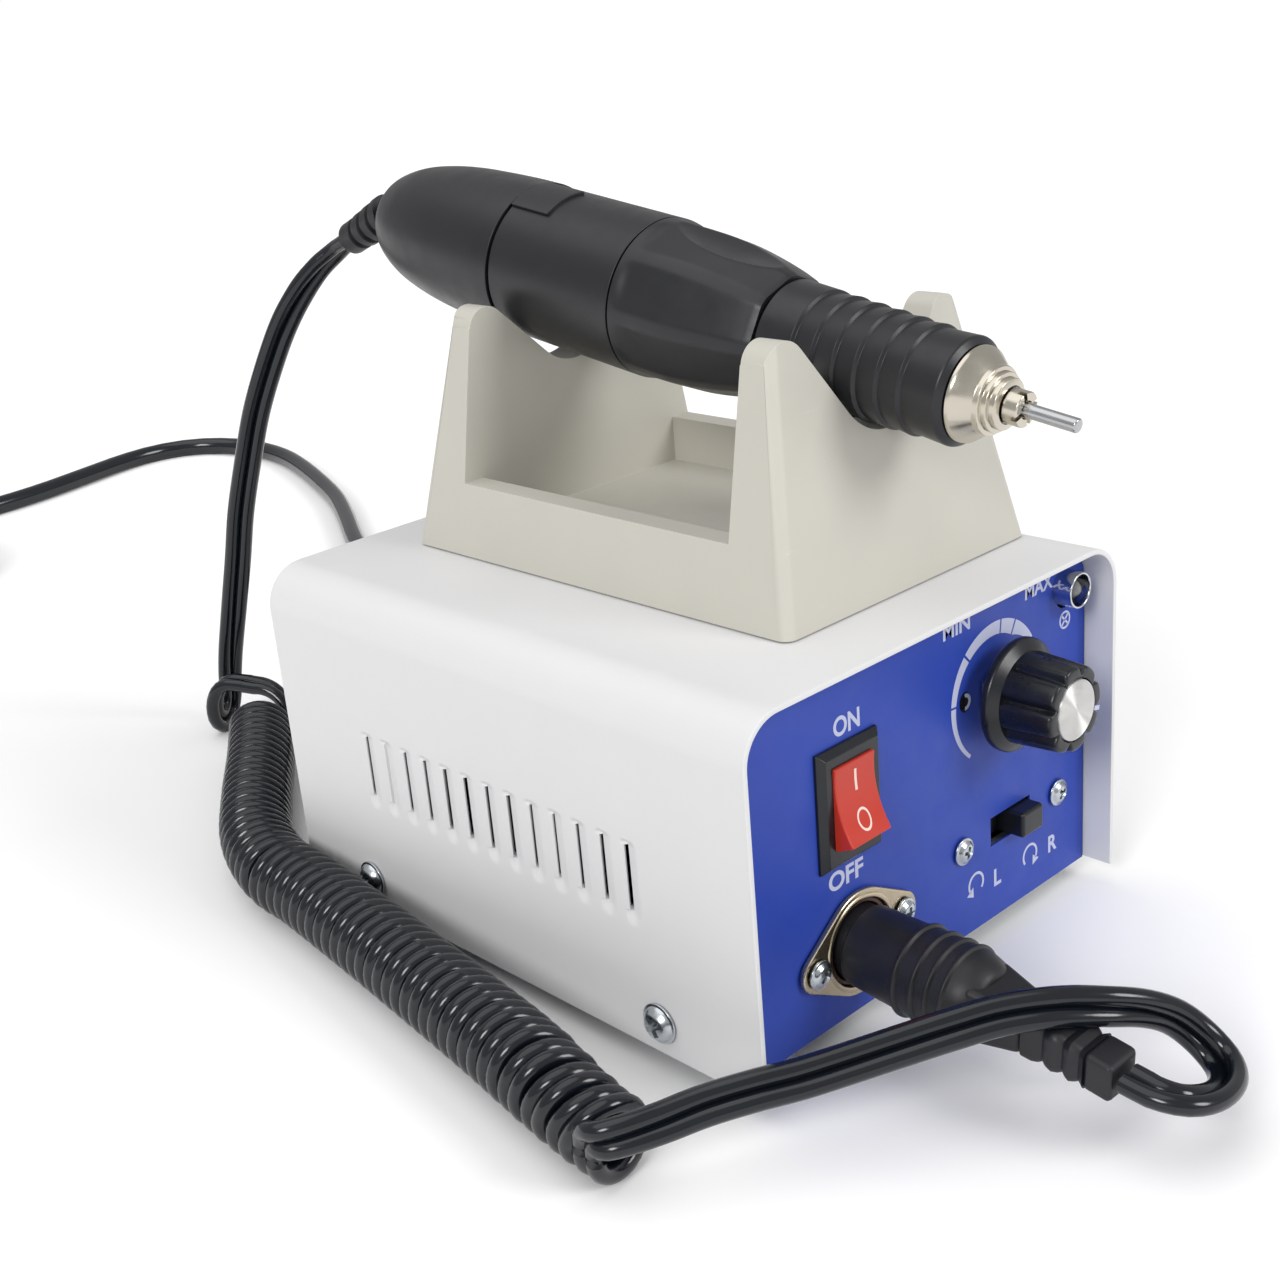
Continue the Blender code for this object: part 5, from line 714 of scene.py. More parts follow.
COVER_WALL = 1.0
LOUVRE_OPENINGS = [0.1, 0.04, 0.12, 0.18, 0.4, 0.5, 0.28, 0.4, 0.14, 0.06, 0.18, 0.32, 0.5]


def cut_across(shape, chosen, spot, way):
    faces = [f for f in shape.faces if chosen(f)]
    geom = faces + list({e for f in faces for e in f.edges}) + list({v for f in faces for v in f.verts})
    bmesh.ops.bisect_plane(shape, geom=geom, dist=0.0001, plane_co=spot, plane_no=way)


def pressed_in(y, z):
    """How far a louvre is pressed in at a place measured from the middle of its slit's lower end."""
    wide = 2.7 if y < 0 else 1.5
    across = abs(y) / wide
    if z < 0:
        return math.hypot(z / 2.9, across)
    if z > 12.0:
        return math.hypot((z - 12.0) / 1.2, across)
    return across


def make_cover():
    """The bent cover: rounded bends, thirteen louvres pressed into each side and its sheet thickness."""
    settings = bpy.context.scene.micromotor_case
    depth = settings.louvre_depth / MM
    height = CASE_TOP - CASE_BOTTOM
    shape = block((2 * HALF_WIDTH, REAR - FRONT, height), (0, (FRONT + REAR) / 2, CASE_BOTTOM + height / 2))
    bmesh.ops.recalc_face_normals(shape, faces=shape.faces)
    bmesh.ops.delete(shape, geom=[f for f in shape.faces if abs(f.normal.y) > 0.9 or f.normal.z < -0.9],
                     context='FACES')
    rounded(shape, [e for e in shape.edges if len(e.link_faces) == 2], 8.0, 14)
    low = CASE_BOTTOM + 24.8
    rows = [low + z for z in (-2.9, -2.5, -2.1, -1.7, -1.3, -0.9, -0.45, 0, 0.3, 11.7, 12.0, 12.3, 12.6, 12.9,
                              13.2)]
    for side in (-1, 1):
        def wall(f):
            return abs(f.normal.x) > 0.99 and f.calc_center_median().x * side > 0
        for z in rows:
            cut_across(shape, wall, (0, 0, z), (0, 0, 1))

        def band(f):
            return wall(f) and rows[0] < f.calc_center_median().z < rows[-1]
        middles = []
        for index in range(13):
            middle = CASE_Y + 0.1 + (6 - index) * 5.8 + 0.2
            opening = LOUVRE_OPENINGS[index]
            middles.append((middle, opening))
            for step in (-2.7, -2.2, -1.7, -1.2, -0.8, -opening / 2, opening / 2, 0.7, 1.1, 1.5):
                cut_across(shape, band, (0, middle + step, 0), (0, 1, 0))
        slits = []
        for face in [f for f in shape.faces if band(f)]:
            spot = face.calc_center_median()
            if rows[7] < spot.z < rows[10] and any(abs(spot.y - m) < o / 2 for m, o in middles if o > 0.05):
                slits.append(face)
        bmesh.ops.delete(shape, geom=slits, context='FACES')
        for corner in shape.verts:
            if corner.co.x * side < HALF_WIDTH - 0.01 or not rows[0] - 0.01 < corner.co.z < rows[-1] + 0.01:
                continue
            middle, opening = min(middles, key=lambda m: abs(m[0] - corner.co.y))
            y, z = corner.co.y - middle, corner.co.z - low
            share = eased(1 - pressed_in(y, z))
            if y > 0 and 0 < z < 12.0:
                share *= 0.08
            corner.co.x -= side * depth * share
    bmesh.ops.recalc_face_normals(shape, faces=shape.faces)
    if sum(f.normal.z for f in shape.faces) < 0:
        bmesh.ops.reverse_faces(shape, faces=shape.faces)
    bmesh.ops.solidify(shape, geom=list(shape.faces), thickness=-COVER_WALL)
    for corner in shape.verts:
        inner = abs(abs(corner.co.x) - HALF_WIDTH + COVER_WALL) < 0.2
        level = rows[7] - 0.6 < corner.co.z < rows[10] + 0.6
        if inner and level and any(abs(corner.co.y - m - o / 2) < 0.5 for m, o in middles if o > 0.05):
            corner.co.x = math.copysign(HALF_WIDTH - 0.35, corner.co.x)
    soften(shape, 0.22, 2, 60.0, lambda e: all(abs(v.co.y - FRONT) < 0.3 or abs(v.co.y - REAR) < 0.3
                                                or v.co.z < CASE_BOTTOM + 0.3 for v in e.verts))
    put(shape, "bent_cover", "powder_coat", ["case_cover"], angle=40.0)


def screw(place, radius, height, shank, length, shape):
    """A pan-head screw with a cross recess, its head a hair above its seat."""
    head = lathe([(0, height, 0.2), (radius * 0.55, height, 0.5), (radius * 0.84, height * 0.5, 0.3),
                  (radius * 0.88, 0.75), (radius, 0.65, 0.12), (radius, 0.3, 0.1), (shank, 0.3),
                  (shank, -length), (0, -length)], 48)
    arm, wide = radius * 0.6, radius * 0.18
    cross = [(wide, wide), (arm, wide), (arm, -wide), (wide, -wide), (wide, -arm), (-wide, -arm),
             (-wide, -wide),
             (-arm, -wide), (-arm, wide), (-wide, wide), (-wide, arm), (wide, arm)]
    tool = drawn(cross, 2.0, Matrix.Translation((0, 0, height * 0.38)))
    for corner in tool.verts:
        if corner.co.z < height * 0.5:
            corner.co.xy *= 0.55
    head = carved(head, tool)
    bmesh.ops.transform(head, matrix=place, verts=head.verts)
    return merged(shape, head)


def make_fasteners():
    """Cover screws and the panel's screws."""
    turns = (0.5, 1.1, 0.2, 0.8)
    index = 0
    for side in (-1, 1):
        for along in (-39.3, 39.3):
            place = (Matrix.Translation((side * HALF_WIDTH, CASE_Y + along, CASE_BOTTOM + 6.0))
                     @ Matrix.Rotation(side * math.radians(90.0), 4, 'Y')
                     @ Matrix.Rotation(turns[index], 4, 'Z'))
            index += 1
            shape = screw(place, 3.6, 2.1, 1.4, 6.0, None)
            put(shape, f"cover_fastener_{index}", "zinc_plate", [f"cover_screw_{index}"])
    for index, side in enumerate((-1, 1), start=1):
        place = facing_front(24.4 + side * 14.4, 21.3) @ Matrix.Rotation(0.3 + index, 4, 'Z')
        put(screw(place, 2.55, 1.5, 1.2, 4.5, None), f"switch_fastener_{index}", "zinc_plate",
            [f"switch_screw_{index}"])
        turn = math.radians(4.0)
        spot = (SOCKET[0] + side * 11.0 * math.cos(turn), SOCKET[1] + side * 11.0 * math.sin(turn))
        place = facing_front(*spot, y=LABEL_FACE - 1.3) @ Matrix.Rotation(0.7 * index, 4, 'Z')
        put(screw(place, 2.55, 1.5, 1.2, 5.8, None), f"socket_fastener_{index}", "zinc_plate",
            [f"socket_screw_{index}"])


def make_feet():
    """Rubber feet, dished underneath round their screws."""
    index = 0
    for y in (-41.5, 41.5):
        for x in (-29.0, 29.0):
            index += 1
            profile = [(0, 4.0), (6.0, 4.0, 0.3), (5.7, 0.0, 0.6), (3.4, 0.0, 0.3), (3.0, 1.2, 0.2), (0, 1.2)]
            put(lathe(profile, 48, Matrix.Translation((x, CASE_Y + y, 0))), f"rubber_foot_{index}",
                "soft_pvc",
                [f"foot_{index}"])


def make_rear_fittings():
    """Mains bushing with its relief ribs, and the fuse holder's slotted cap."""
    profile = [(0, 26.0), (3.9, 26.0, 0.5), (4.2, 25.0)]
    for index in range(6):
        at = 23.0 - 3.2 * index
        radius = 4.35 + 0.2 * index
        profile += [(radius, at, 0.2), (radius - 0.8, at - 0.3, 0.2), (radius - 0.8, at - 1.3, 0.2),
                    (radius + 0.1, at - 1.6, 0.2)]
    profile += [(5.7, 3.0, 0.4), (7.5, 3.0, 0.6), (7.5, 0.3, 0.2), (5.2, 0.3), (5.2, -4.0), (0, -4.0)]
    put(lathe(profile, 64, facing_rear(22.0, 20.0)), "lead_bushing", "soft_pvc",
        ["mains_bushing"])
    cap = lathe([(0, 7.0), (6.2, 7.0, 0.6), (6.9, 3.5, 0.4), (7.0, 0.3, 0.3), (6.0, 0.3), (6.0, -16.0),
                 (0, -16.0)], 64)
    cap = carved(cap, block((8.6, 1.2, 3.0), (0, 0, 7.2)))
    bmesh.ops.transform(cap, matrix=facing_rear(-22.0, 24.0), verts=cap.verts)
    put(cap, "fuse_cap", "black_abs", ["fuse_holder"])


# Panel

def letters(text, width, height, x, z, shape):
    """Plain bold letters as a thin print on the panel, a given size over all."""
    face = bpy.data.curves.new("letters", 'FONT')
    face.body = text
    face.size = 5.0
    face.offset = 0.13
    face.extrude = 0.03
    face.align_x = 'CENTER'
    holder = bpy.data.objects.new("letters", face)
    bpy.context.scene.collection.objects.link(holder)
    bpy.context.view_layer.update()
    mesh = bpy.data.meshes.new_from_object(holder.evaluated_get(bpy.context.evaluated_depsgraph_get()))
    made = bmesh.new()
    made.from_mesh(mesh)
    bpy.data.objects.remove(holder, do_unlink=True)
    bpy.data.curves.remove(face)
    bpy.data.meshes.remove(mesh)
    low = Vector([min(v.co[i] for v in made.verts) for i in range(3)])
    high = Vector([max(v.co[i] for v in made.verts) for i in range(3)])
    middle = (low + high) / 2
    size = high - low
    bmesh.ops.translate(made, vec=-middle, verts=made.verts)
    bmesh.ops.scale(made, vec=(width / size.x, height / size.y, 1.0), verts=made.verts)
    bmesh.ops.transform(made, matrix=facing_front(x, z), verts=made.verts)
    return merged(shape, made)


def swept_mark(outer, inner, start, end, x, z, shape, wedge=None):
    """A flat ring sector printed on the panel; wedge gives its inner radius at an angle instead."""
    made = bmesh.new()
    turn = Matrix.Rotation(math.radians(start), 3, 'Z')
    ends = [made.verts.new(turn @ Vector((r, 0, 0.03))) for r in (outer, inner)]
    edge = made.edges.new(ends)
    bmesh.ops.spin(made, geom=ends + [edge], cent=(0, 0, 0), axis=(0, 0, 1), angle=math.radians(end - start),
                   steps=max(int(abs(end - start) / 3), 1))
    if wedge:
        for spot in made.verts:
            if spot.co.xy.length < outer - 0.001:
                bearing = math.degrees(math.atan2(spot.co.y, spot.co.x)) % 360
                spot.co.xy = spot.co.xy.normalized() * wedge(bearing)
    thickened = bmesh.ops.extrude_face_region(made, geom=list(made.faces))
    bmesh.ops.translate(made, vec=(0, 0, -0.06), verts=[v for v in thickened["geom"]
                                                        if isinstance(v, bmesh.types.BMVert)])
    bmesh.ops.recalc_face_normals(made, faces=made.faces)
    bmesh.ops.transform(made, matrix=facing_front(x, z), verts=made.verts)
    return merged(shape, made)


def make_panel_print():
    """The printed film's lettering: switch words, the growing speed band and the two ways of turning."""
    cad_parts["front_label"].data.materials.clear()
    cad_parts["front_label"].data.materials.append(make_finish("printed_film"))
    height = bpy.context.scene.micromotor_case.letter_height / MM
    shape = letters("ON", 6.4, height, -19.2, 56.5, None)
    letters("OFF", 8.6, height, -20.9, 30.2, shape)
    letters("L", 2.1, height, 20.3, 11.8, shape)
    letters("R", 2.7, height, 37.6, 11.3, shape)
    letters("MIN", 7.4, 2.8, 9.6, 63.2, shape)
    letters("MAX", 8.4, 2.8, 33.4, 63.2, shape)
    swept_mark(1.7, 1.3, 0.0, 360.0, 41.4, 54.4, shape)
    for turn in (45.0, -45.0):
        bar = block((2.9, 0.4, 0.06))
        turned = Matrix.Rotation(math.radians(turn), 4, 'Z')
        bmesh.ops.transform(bar, matrix=facing_front(41.4, 54.4) @ turned, verts=bar.verts)
        merged(shape, bar)

    def inner_radius(angle):
        return 12.05 - 2.1 * (232.0 - angle) / 170.0 if angle > 61.5 else 9.95 + 1.6 * (61.0 - angle) / 30.0
    for start, end in ((232.0, 177.2), (175.2, 134.6), (132.4, 83.4), (81.4, 63.4), (61.4, 31.0)):
        swept_mark(12.7, 11.0, start, end, 20.4, 48.1, shape, inner_radius)
    for x, z, way in ((13.9, 13.1, 1), (30.4, 11.8, -1)):
        start, end = (-40.0, 215.0) if way > 0 else (220.0, -35.0)
        swept_mark(2.3, 1.8, start, end, x, z, shape)
        tip = math.radians(end)
        spot = Vector((math.cos(tip), math.sin(tip))) * 2.05
        ahead = Vector((-math.sin(tip), math.cos(tip))) * way
        out = Vector((math.cos(tip), math.sin(tip)))
        corners = [spot + ahead * 1.5, spot + out * 1.1 - ahead * 0.2, spot - out * 1.1 - ahead * 0.2]
        merged(shape, drawn([tuple(c) for c in corners], 0.06,
                            facing_front(x, z) @ Matrix.Translation((0, 0, -0.03))))
    put(shape, "panel_lettering", "screen_ink", even=False)
    # The locating hole is painted shade: a flat black disc laid on the film where the hole's dark inside
    # shows.
    oval = facing_front(11.5, 49.0) @ Matrix.Diagonal((0.92, 1.15, 1.0, 1.0))
    put(lathe([(0, 0.05), (1.6, 0.05), (1.6, -0.05), (0, -0.05)], 48, oval), "painted_hole_shade", "black_abs",
        even=False)
    key = swept_mark(1.5, 0.85, -95.0, 95.0, 11.6, 49.0, None)
    bmesh.ops.translate(key, vec=(0, -0.05, 0), verts=key.verts)
    put(key, "locating_key", "screen_ink", even=False)


def rocker_reach(z):
    return 4.0 + 1.24 * (z / 6.65) ** 2


def make_rocker():
    """The red rocker in its bevelled frame, with its stroke and ring."""
    x, z = -20.0, 43.3
    face = LABEL_FACE - 1.6
    rim = block((15.0, 1.6, 21.0), (x, face + 0.8, z))
    soften(rim, 1.1, 1, 35.0, lambda e: all(v.co.y < face + 0.01 for v in e.verts))
    bmesh.ops.recalc_face_normals(rim, faces=rim.faces)
    front = max((f for f in rim.faces if f.normal.y < -0.9), key=lambda f: f.calc_area())
    bmesh.ops.inset_region(rim, faces=[front], thickness=1.2)
    front = min((f for f in rim.faces if f.normal.y < -0.9),
                key=lambda f: (f.calc_center_median() - Vector((x, face, z))).length)
    for corner in front.verts:
        corner.co.x = x + math.copysign(5.2, corner.co.x - x)
        corner.co.z = z + math.copysign(8.2, corner.co.z - z)
    hole = bmesh.ops.extrude_face_region(rim, geom=[front])
    bmesh.ops.translate(rim, vec=(0, 9.5, 0),
                        verts=[v for v in hole["geom"] if isinstance(v, bmesh.types.BMVert)])
    soften(rim, 0.12, 2, 20.0)
    body = block((13.0, 13.0, 19.0), (x, LABEL_FACE + 7.2, z))
    soften(body, 0.4, 2)
    body = carved(body, block((10.38, 16.0, 16.38), (x, LABEL_FACE, z)))
    merged(rim, body)
    for side in (-1, 1):
        block((4.8, 7.4, 0.8), (x, LABEL_FACE + 17.0, z + side * 5.0), rim)
    put(rim, "switch_frame", "black_abs", ["rocker_frame"])

    heights = [-6.65, -5.0, -3.4, -1.7, 0.0, 1.7, 3.4, 5.0, 6.65]
    outline = [(-rocker_reach(h), h) for h in heights] + [(-1.4, 7.4), (1.8, 5.0), (1.8, -5.0), (-1.4, -7.4)]
    swing = Matrix.Rotation(math.radians(-13.0), 4, 'X')
    pivot = Matrix.Translation((x, face + 3.0, z))
    across = Matrix(((0, 0, 1, 0), (1, 0, 0, 0), (0, 1, 0, 0), (0, 0, 0, 1)))
    rocker = drawn(outline, 9.8, across @ Matrix.Translation((0, 0, -4.9)))
    soften(rocker, 0.35, 3, 30.0)
    bmesh.ops.transform(rocker, matrix=pivot @ swing, verts=rocker.verts)
    put(rocker, "switch_rocker", "red_polycarbonate", ["power_rocker"], "rocker", angle=25.0)

    marks = block((0.55, 0.2, 3.6), (0, 0, 3.4))
    for level in (2.2, 3.0, 3.8, 4.6):
        cut_across(marks, lambda f: True, (0, 0, level), (0, 0, 1))
    ring = bmesh.new()
    for radius in (1.0, 0.78):
        bmesh.ops.create_circle(ring, cap_ends=False, radius=radius, segments=40)
    bmesh.ops.bridge_loops(ring, edges=list(ring.edges))
    lifted = bmesh.ops.extrude_face_region(ring, geom=list(ring.faces))
    bmesh.ops.translate(ring, vec=(0, 0, 0.2),
                        verts=[v for v in lifted["geom"] if isinstance(v, bmesh.types.BMVert)])
    upright = Matrix.Rotation(math.radians(90.0), 4, 'X')
    bmesh.ops.transform(ring, matrix=Matrix.Translation((0, 0.1, -3.3)) @ upright
                        @ Matrix.Diagonal((1.5, 1.95, 1.0, 1.0)), verts=ring.verts)
    merged(marks, ring)
    for corner in marks.verts:
        corner.co.y = -rocker_reach(corner.co.z) + (-0.03 if corner.co.y < 0 else 0.1)
    bmesh.ops.transform(marks, matrix=pivot @ swing, verts=marks.verts)
    put(marks, "switch_marks", "pad_print", body="rocker", even=False)


def make_knob():
    """The skirted, fluted knob with its turned disc and white pointer, over the control's nut."""
    flute = bpy.context.scene.micromotor_controls.flute_depth / MM
    place = facing_front(20.8, 48.2) @ Matrix.Rotation(math.radians(-16.0), 4, 'Z')
    skirt = lathe([(3.3, 3.6), (9.0, 3.6), (10.1, 3.6, 0.2), (10.1, 4.9, 0.35), (8.3, 6.2), (3.3, 6.2)], 128)
    grip = lathe([(3.3, 5.6), (8.25, 5.6), (8.15, 7.6), (8.0, 10.0), (7.8, 13.0), (7.72, 14.3),
                  (7.62, 15.8, 0.6),
                  (5.6, 15.8, 0.1), (5.6, 14.9), (3.3, 14.9)], 192)
    for corner in grip.verts:
        reach = corner.co.xy.length
        if reach < 6.2:
            continue
        turn = (math.degrees(math.atan2(corner.co.y, corner.co.x)) + 22.5) % 45.0 - 22.5
        dip = flute * math.exp(-(turn / 5.6) ** 2) * (1 + 0.5 * eased((corner.co.z - 12.5) / 3.3))
        dip += 0.08 * (1 - math.cos(math.radians(turn * 8 - 180)))
        corner.co.xy *= (reach - dip) / reach
    merged(skirt, grip)
    lathe([(0, 12.9), (3.3, 12.9), (3.3, 14.9), (0, 14.9)], 48, shape=skirt)
    bmesh.ops.transform(skirt, matrix=place, verts=skirt.verts)
    put(skirt, "fluted_knob", "black_abs", ["speed_knob"], "knob", angle=30.0)
    disc = lathe([(0, 15.1), (5.3, 15.1), (5.3, 16.0, 0.18), (4.7, 16.0), (0, 16.0)], 128, place)
    put(disc, "knob_plate", "turned_aluminium", ["knob_disc"], "knob")
    line = block((1.8, 0.8, 0.12), (6.55, 0, 15.8))
    cut_across(line, lambda f: True, (7.1, 0, 0), (1, 0, 0))
    for corner in line.verts:
        corner.co.z -= 0.16 * eased((corner.co.x - 7.1) / 0.35)
    bmesh.ops.transform(line, matrix=place, verts=line.verts)
    put(line, "knob_pointer", "screen_ink", body="knob", even=False)


def make_lamp():
    """The pilot lamp: a turned chrome tube with a clear domed lamp deep inside it."""
    place = facing_front(40.7, 60.9)
    tube = lathe([(2.8, -8.5), (3.3, -8.5), (3.3, 3.8, 0.2), (2.92, 3.8, 0.12), (2.8, 3.4)], 64, place)
    put(tube, "lamp_tube", "chrome", ["lamp_bezel"])
    dome = [(2.0 * math.cos(math.radians(t)), -1.7 + 2.0 * math.sin(math.radians(t)))
            for t in range(0, 91, 10)]
    lens = lathe([(0, -4.9), (2.4, -4.9, 0.1), (2.4, -3.9, 0.1), (2.0, -3.9)] + dome[:-1] + [(0, 0.3)], 48,
                 place)
    put(lens, "lamp_lens", "clear_epoxy", ["lamp_led"])


def make_slide_button():
    """The direction switch's button on its carriage."""
    x, z = 24.4 + 2.3, 21.3
    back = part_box("slide_switch")[0].y / MM
    low = LABEL_FACE - 3.4
    button = block((6.4, back + 1.5 - low, 4.9), (x, (low + back + 1.5) / 2, z))
    soften(button, 0.7, 4)
    plate = block((9.0, 2.0, 4.9), (x, back + 1.5, z))
    soften(plate, 0.2, 2)
    merged(button, plate)
    put(button, "direction_button", "black_abs", ["slide_button"], "slider")


# Socket and plug

def make_socket():
    """The pressed socket flange with its rolled ring, the can behind it and the brown insert."""
    lean = math.degrees(math.asin((9.4 - 3.5) / 11.0))
    side = 90.0 - lean
    outline = arc(11.0, 0, 3.5, -side, side, 16)[:-1] + arc(0, 0, 9.4, side, 180 - side, 14)[:-1]
    outline += arc(-11.0, 0, 3.5, 180 - side, 180 + side, 16)[:-1]
    outline += arc(0, 0, 9.4, 180 + side, 360 - side, 14)[:-1]
    plate = drawn(outline, 1.0, Matrix.Translation((0, 0, 0.3)))
    bmesh.ops.rotate(plate, matrix=Matrix.Rotation(math.radians(4.0), 3, 'Z'), verts=plate.verts)
    plate = carved(plate, lathe([(0, -1), (7.9, -1), (7.9, 3), (0, 3)], 96))
    soften(plate, 0.3, 3, 50.0)
    lathe([(7.7, -11.0), (7.7, 1.5, 0.25), (8.5, 1.5, 0.3), (8.7, 1.2), (8.4, 0.6), (8.4, -12.0), (0, -12.0),
           (0, -11.0)],
          96, shape=plate)
    place = facing_front(*SOCKET)
    bmesh.ops.transform(plate, matrix=place, verts=plate.verts)
    put(plate, "socket_plate", "nickel_brass", ["socket_flange"], angle=30.0)
    insert = lathe([(0, -6.2), (6.8, -6.2, 0.2), (6.8, 0.8, 0.2), (7.6, 0.8, 0.2), (7.6, -10.7), (0, -10.7)],
                   64)
    holes = bmesh.new()
    for turn in range(5):
        spot = Matrix.Rotation(math.radians(45.0 * turn), 4, 'Z') @ Matrix.Translation((4.0, 0, 0))
        lathe([(0, -9.0), (0.8, -9.0), (0.8, -5.0), (0, -5.0)], 16, spot, holes)
    insert = carved(insert, holes)
    bmesh.ops.transform(insert, matrix=place, verts=insert.verts)
    put(insert, "pin_insert", "phenolic", ["socket_insert"])


def plug_place():
    return facing_front(*SOCKET, y=LABEL_FACE - 1.0, turn=PLUG_DROOP)


def make_plug():
    """The moulded plug: smooth barrel, four raised rings, a tapered neck and a ribbed flexible tail."""
    profile = [(0, -4.6), (6.5, -4.6, 0.3), (6.5, 1.2), (7.0, 1.2, 0.5), (7.35, 11.6)]
    for at in (12.4, 15.8, 18.6, 21.3):
        profile += [(7.55, at - 0.5), (8.0, at - 0.25, 0.12), (8.0, at + 0.2, 0.12), (7.5, at + 0.5)]
    profile += [(7.35, 22.8, 0.5), (6.9, 24.4), (6.0, 25.8), (5.0, 26.6, 0.5), (0, 26.6)]
    barrel = lathe(profile, 96)
    strap = block((11.4, 9.8, 9.8), (0, 0, 28.9))
    for corner in strap.verts:
        if corner.co.z > 30:
            corner.co.x *= 7.6 / 11.4
            corner.co.y *= 7.0 / 9.8
    merged(barrel, soften(strap, 1.2, 4))

    tail = block((8.4, 7.4, 10.6), (0, 0, 39.3))
    rounded(tail, [e for e in tail.edges if abs((e.verts[0].co - e.verts[1].co).z) > 1], 1.6, 4)
    for at in (35.8, 36.6, 37.4, 38.2, 39.2, 40.0, 40.8, 41.6, 42.2, 42.9, 43.6, 44.2):
        cut_across(tail, lambda f: True, (0, 0, at), (0, 0, 1))
    for corner in tail.verts:
        dip = max(math.exp(-((corner.co.z - at) / 0.75) ** 2) for at in (37.4, 40.8, 43.6))
        slim = 1 - 0.04 * (corner.co.z - 34.0) / 10.6
        corner.co.x *= slim - 0.17 * dip
        corner.co.y *= slim - 0.17 * dip
    merged(tail, soften(block((7.3, 6.3, 4.8), (0, 0, 46.8)), 0.9, 3))
    for shape in (barrel, tail):
        for corner in shape.verts:
            late = max(corner.co.z - 28.0, 0.0) / 21.0
            corner.co.y -= 1.5 * late ** 1.5
        bmesh.ops.transform(shape, matrix=plug_place(), verts=shape.verts)
    put(barrel, "plug_barrel", "soft_pvc", ["plug_shell"], angle=50.0)
    put(tail, "plug_tail", "soft_pvc", ["plug_boot"])


# Cradle

def axis_height(y):
    return AXIS_HEIGHT + y * math.tan(NOSE_DROP)


def notch(bottom, radius, flank):
    """Top of an end wall, from its right face over both horns to its left face."""
    rise = 20.3 * math.sin(math.radians(flank)) - radius - 4.2
    top = bottom + rise / math.cos(math.radians(flank))
    right = arc(20.3, top, 4.2, 10.6, 90 + flank, 16)
    right += arc(0, bottom, radius, flank - 90, -90, 12)[:-1]
    left = [(-x, z) for x, z in reversed(right)]
    return right + [(0, bottom - radius)] + left, top


def make_cradle():
    """The moulded cradle: leaning walls, two horned notches, side rails and a flat tray."""
    base = CASE_TOP + 0.3
    lean = math.tan(math.radians(10.6))
    tops = []
    for radius, flank, bottom_radius, side in ((10.0, 55.0, None, -1), (14.8, 42.5, 9.5, 1)):
        reach = radius / math.cos(NOSE_DROP) + 0.3
        bottom_radius = bottom_radius or reach
        outer = 47.7 - lean * (axis_height(0) - base - reach)
        y = 0.6 - outer if side < 0 else 0.6 + 33.7
        centre = axis_height(y) - (reach - bottom_radius) / math.cos(math.radians(flank)) - base
        tops.append(notch(centre, bottom_radius, flank))
    height = max(top for profile, top in tops) + 4.2 + 2.0
    shape = block((64.6, 95.4, height), (0, 0, height / 2))
    for corner in shape.verts:
        if corner.co.z > height / 2:
            corner.co.x -= math.copysign(lean * height, corner.co.x)
            corner.co.y -= math.copysign(lean * height, corner.co.y)
    rounded(shape, [e for e in shape.edges if abs((e.verts[0].co - e.verts[1].co).z) > 1], 2.2, 4)
    upright = Matrix(((1, 0, 0, 0), (0, 0, 1, 0), (0, 1, 0, 0), (0, 0, 0, 1)))
    rail = 32.3 - lean * 13.3 - 4.6
    far, over = 40.0, height + 4.0
    bay = [(-rail, 4.3), (rail, 4.3), (rail, 13.3), (far, 13.3), (far, over), (-far, over), (-far, 13.3),
           (-rail, 13.3)]
    shape = carved(shape, drawn(bay, 67.4, upright @ Matrix.Translation((0, 0, -33.7))))
    for side, (profile, top) in zip((-1, 1), tops):
        start = profile[0]
        outline = profile + [(-far, start[1]), (-far, over), (far, over), (far, start[1])]
        low = -50.0 if side < 0 else 31.7
        shape = carved(shape, drawn(outline, 18.3, upright @ Matrix.Translation((0, 0, low))))
    soften(shape, 1.9, 5, 40.0, lambda e: any(v.co.z > 0.2 for v in e.verts))
    bmesh.ops.translate(shape, vec=(AXIS_X, CASE_Y + 0.6, base), verts=shape.verts)
    put(shape, "handpiece_cradle", "moulded_abs", ["cradle"], angle=32.0)


# Handpiece

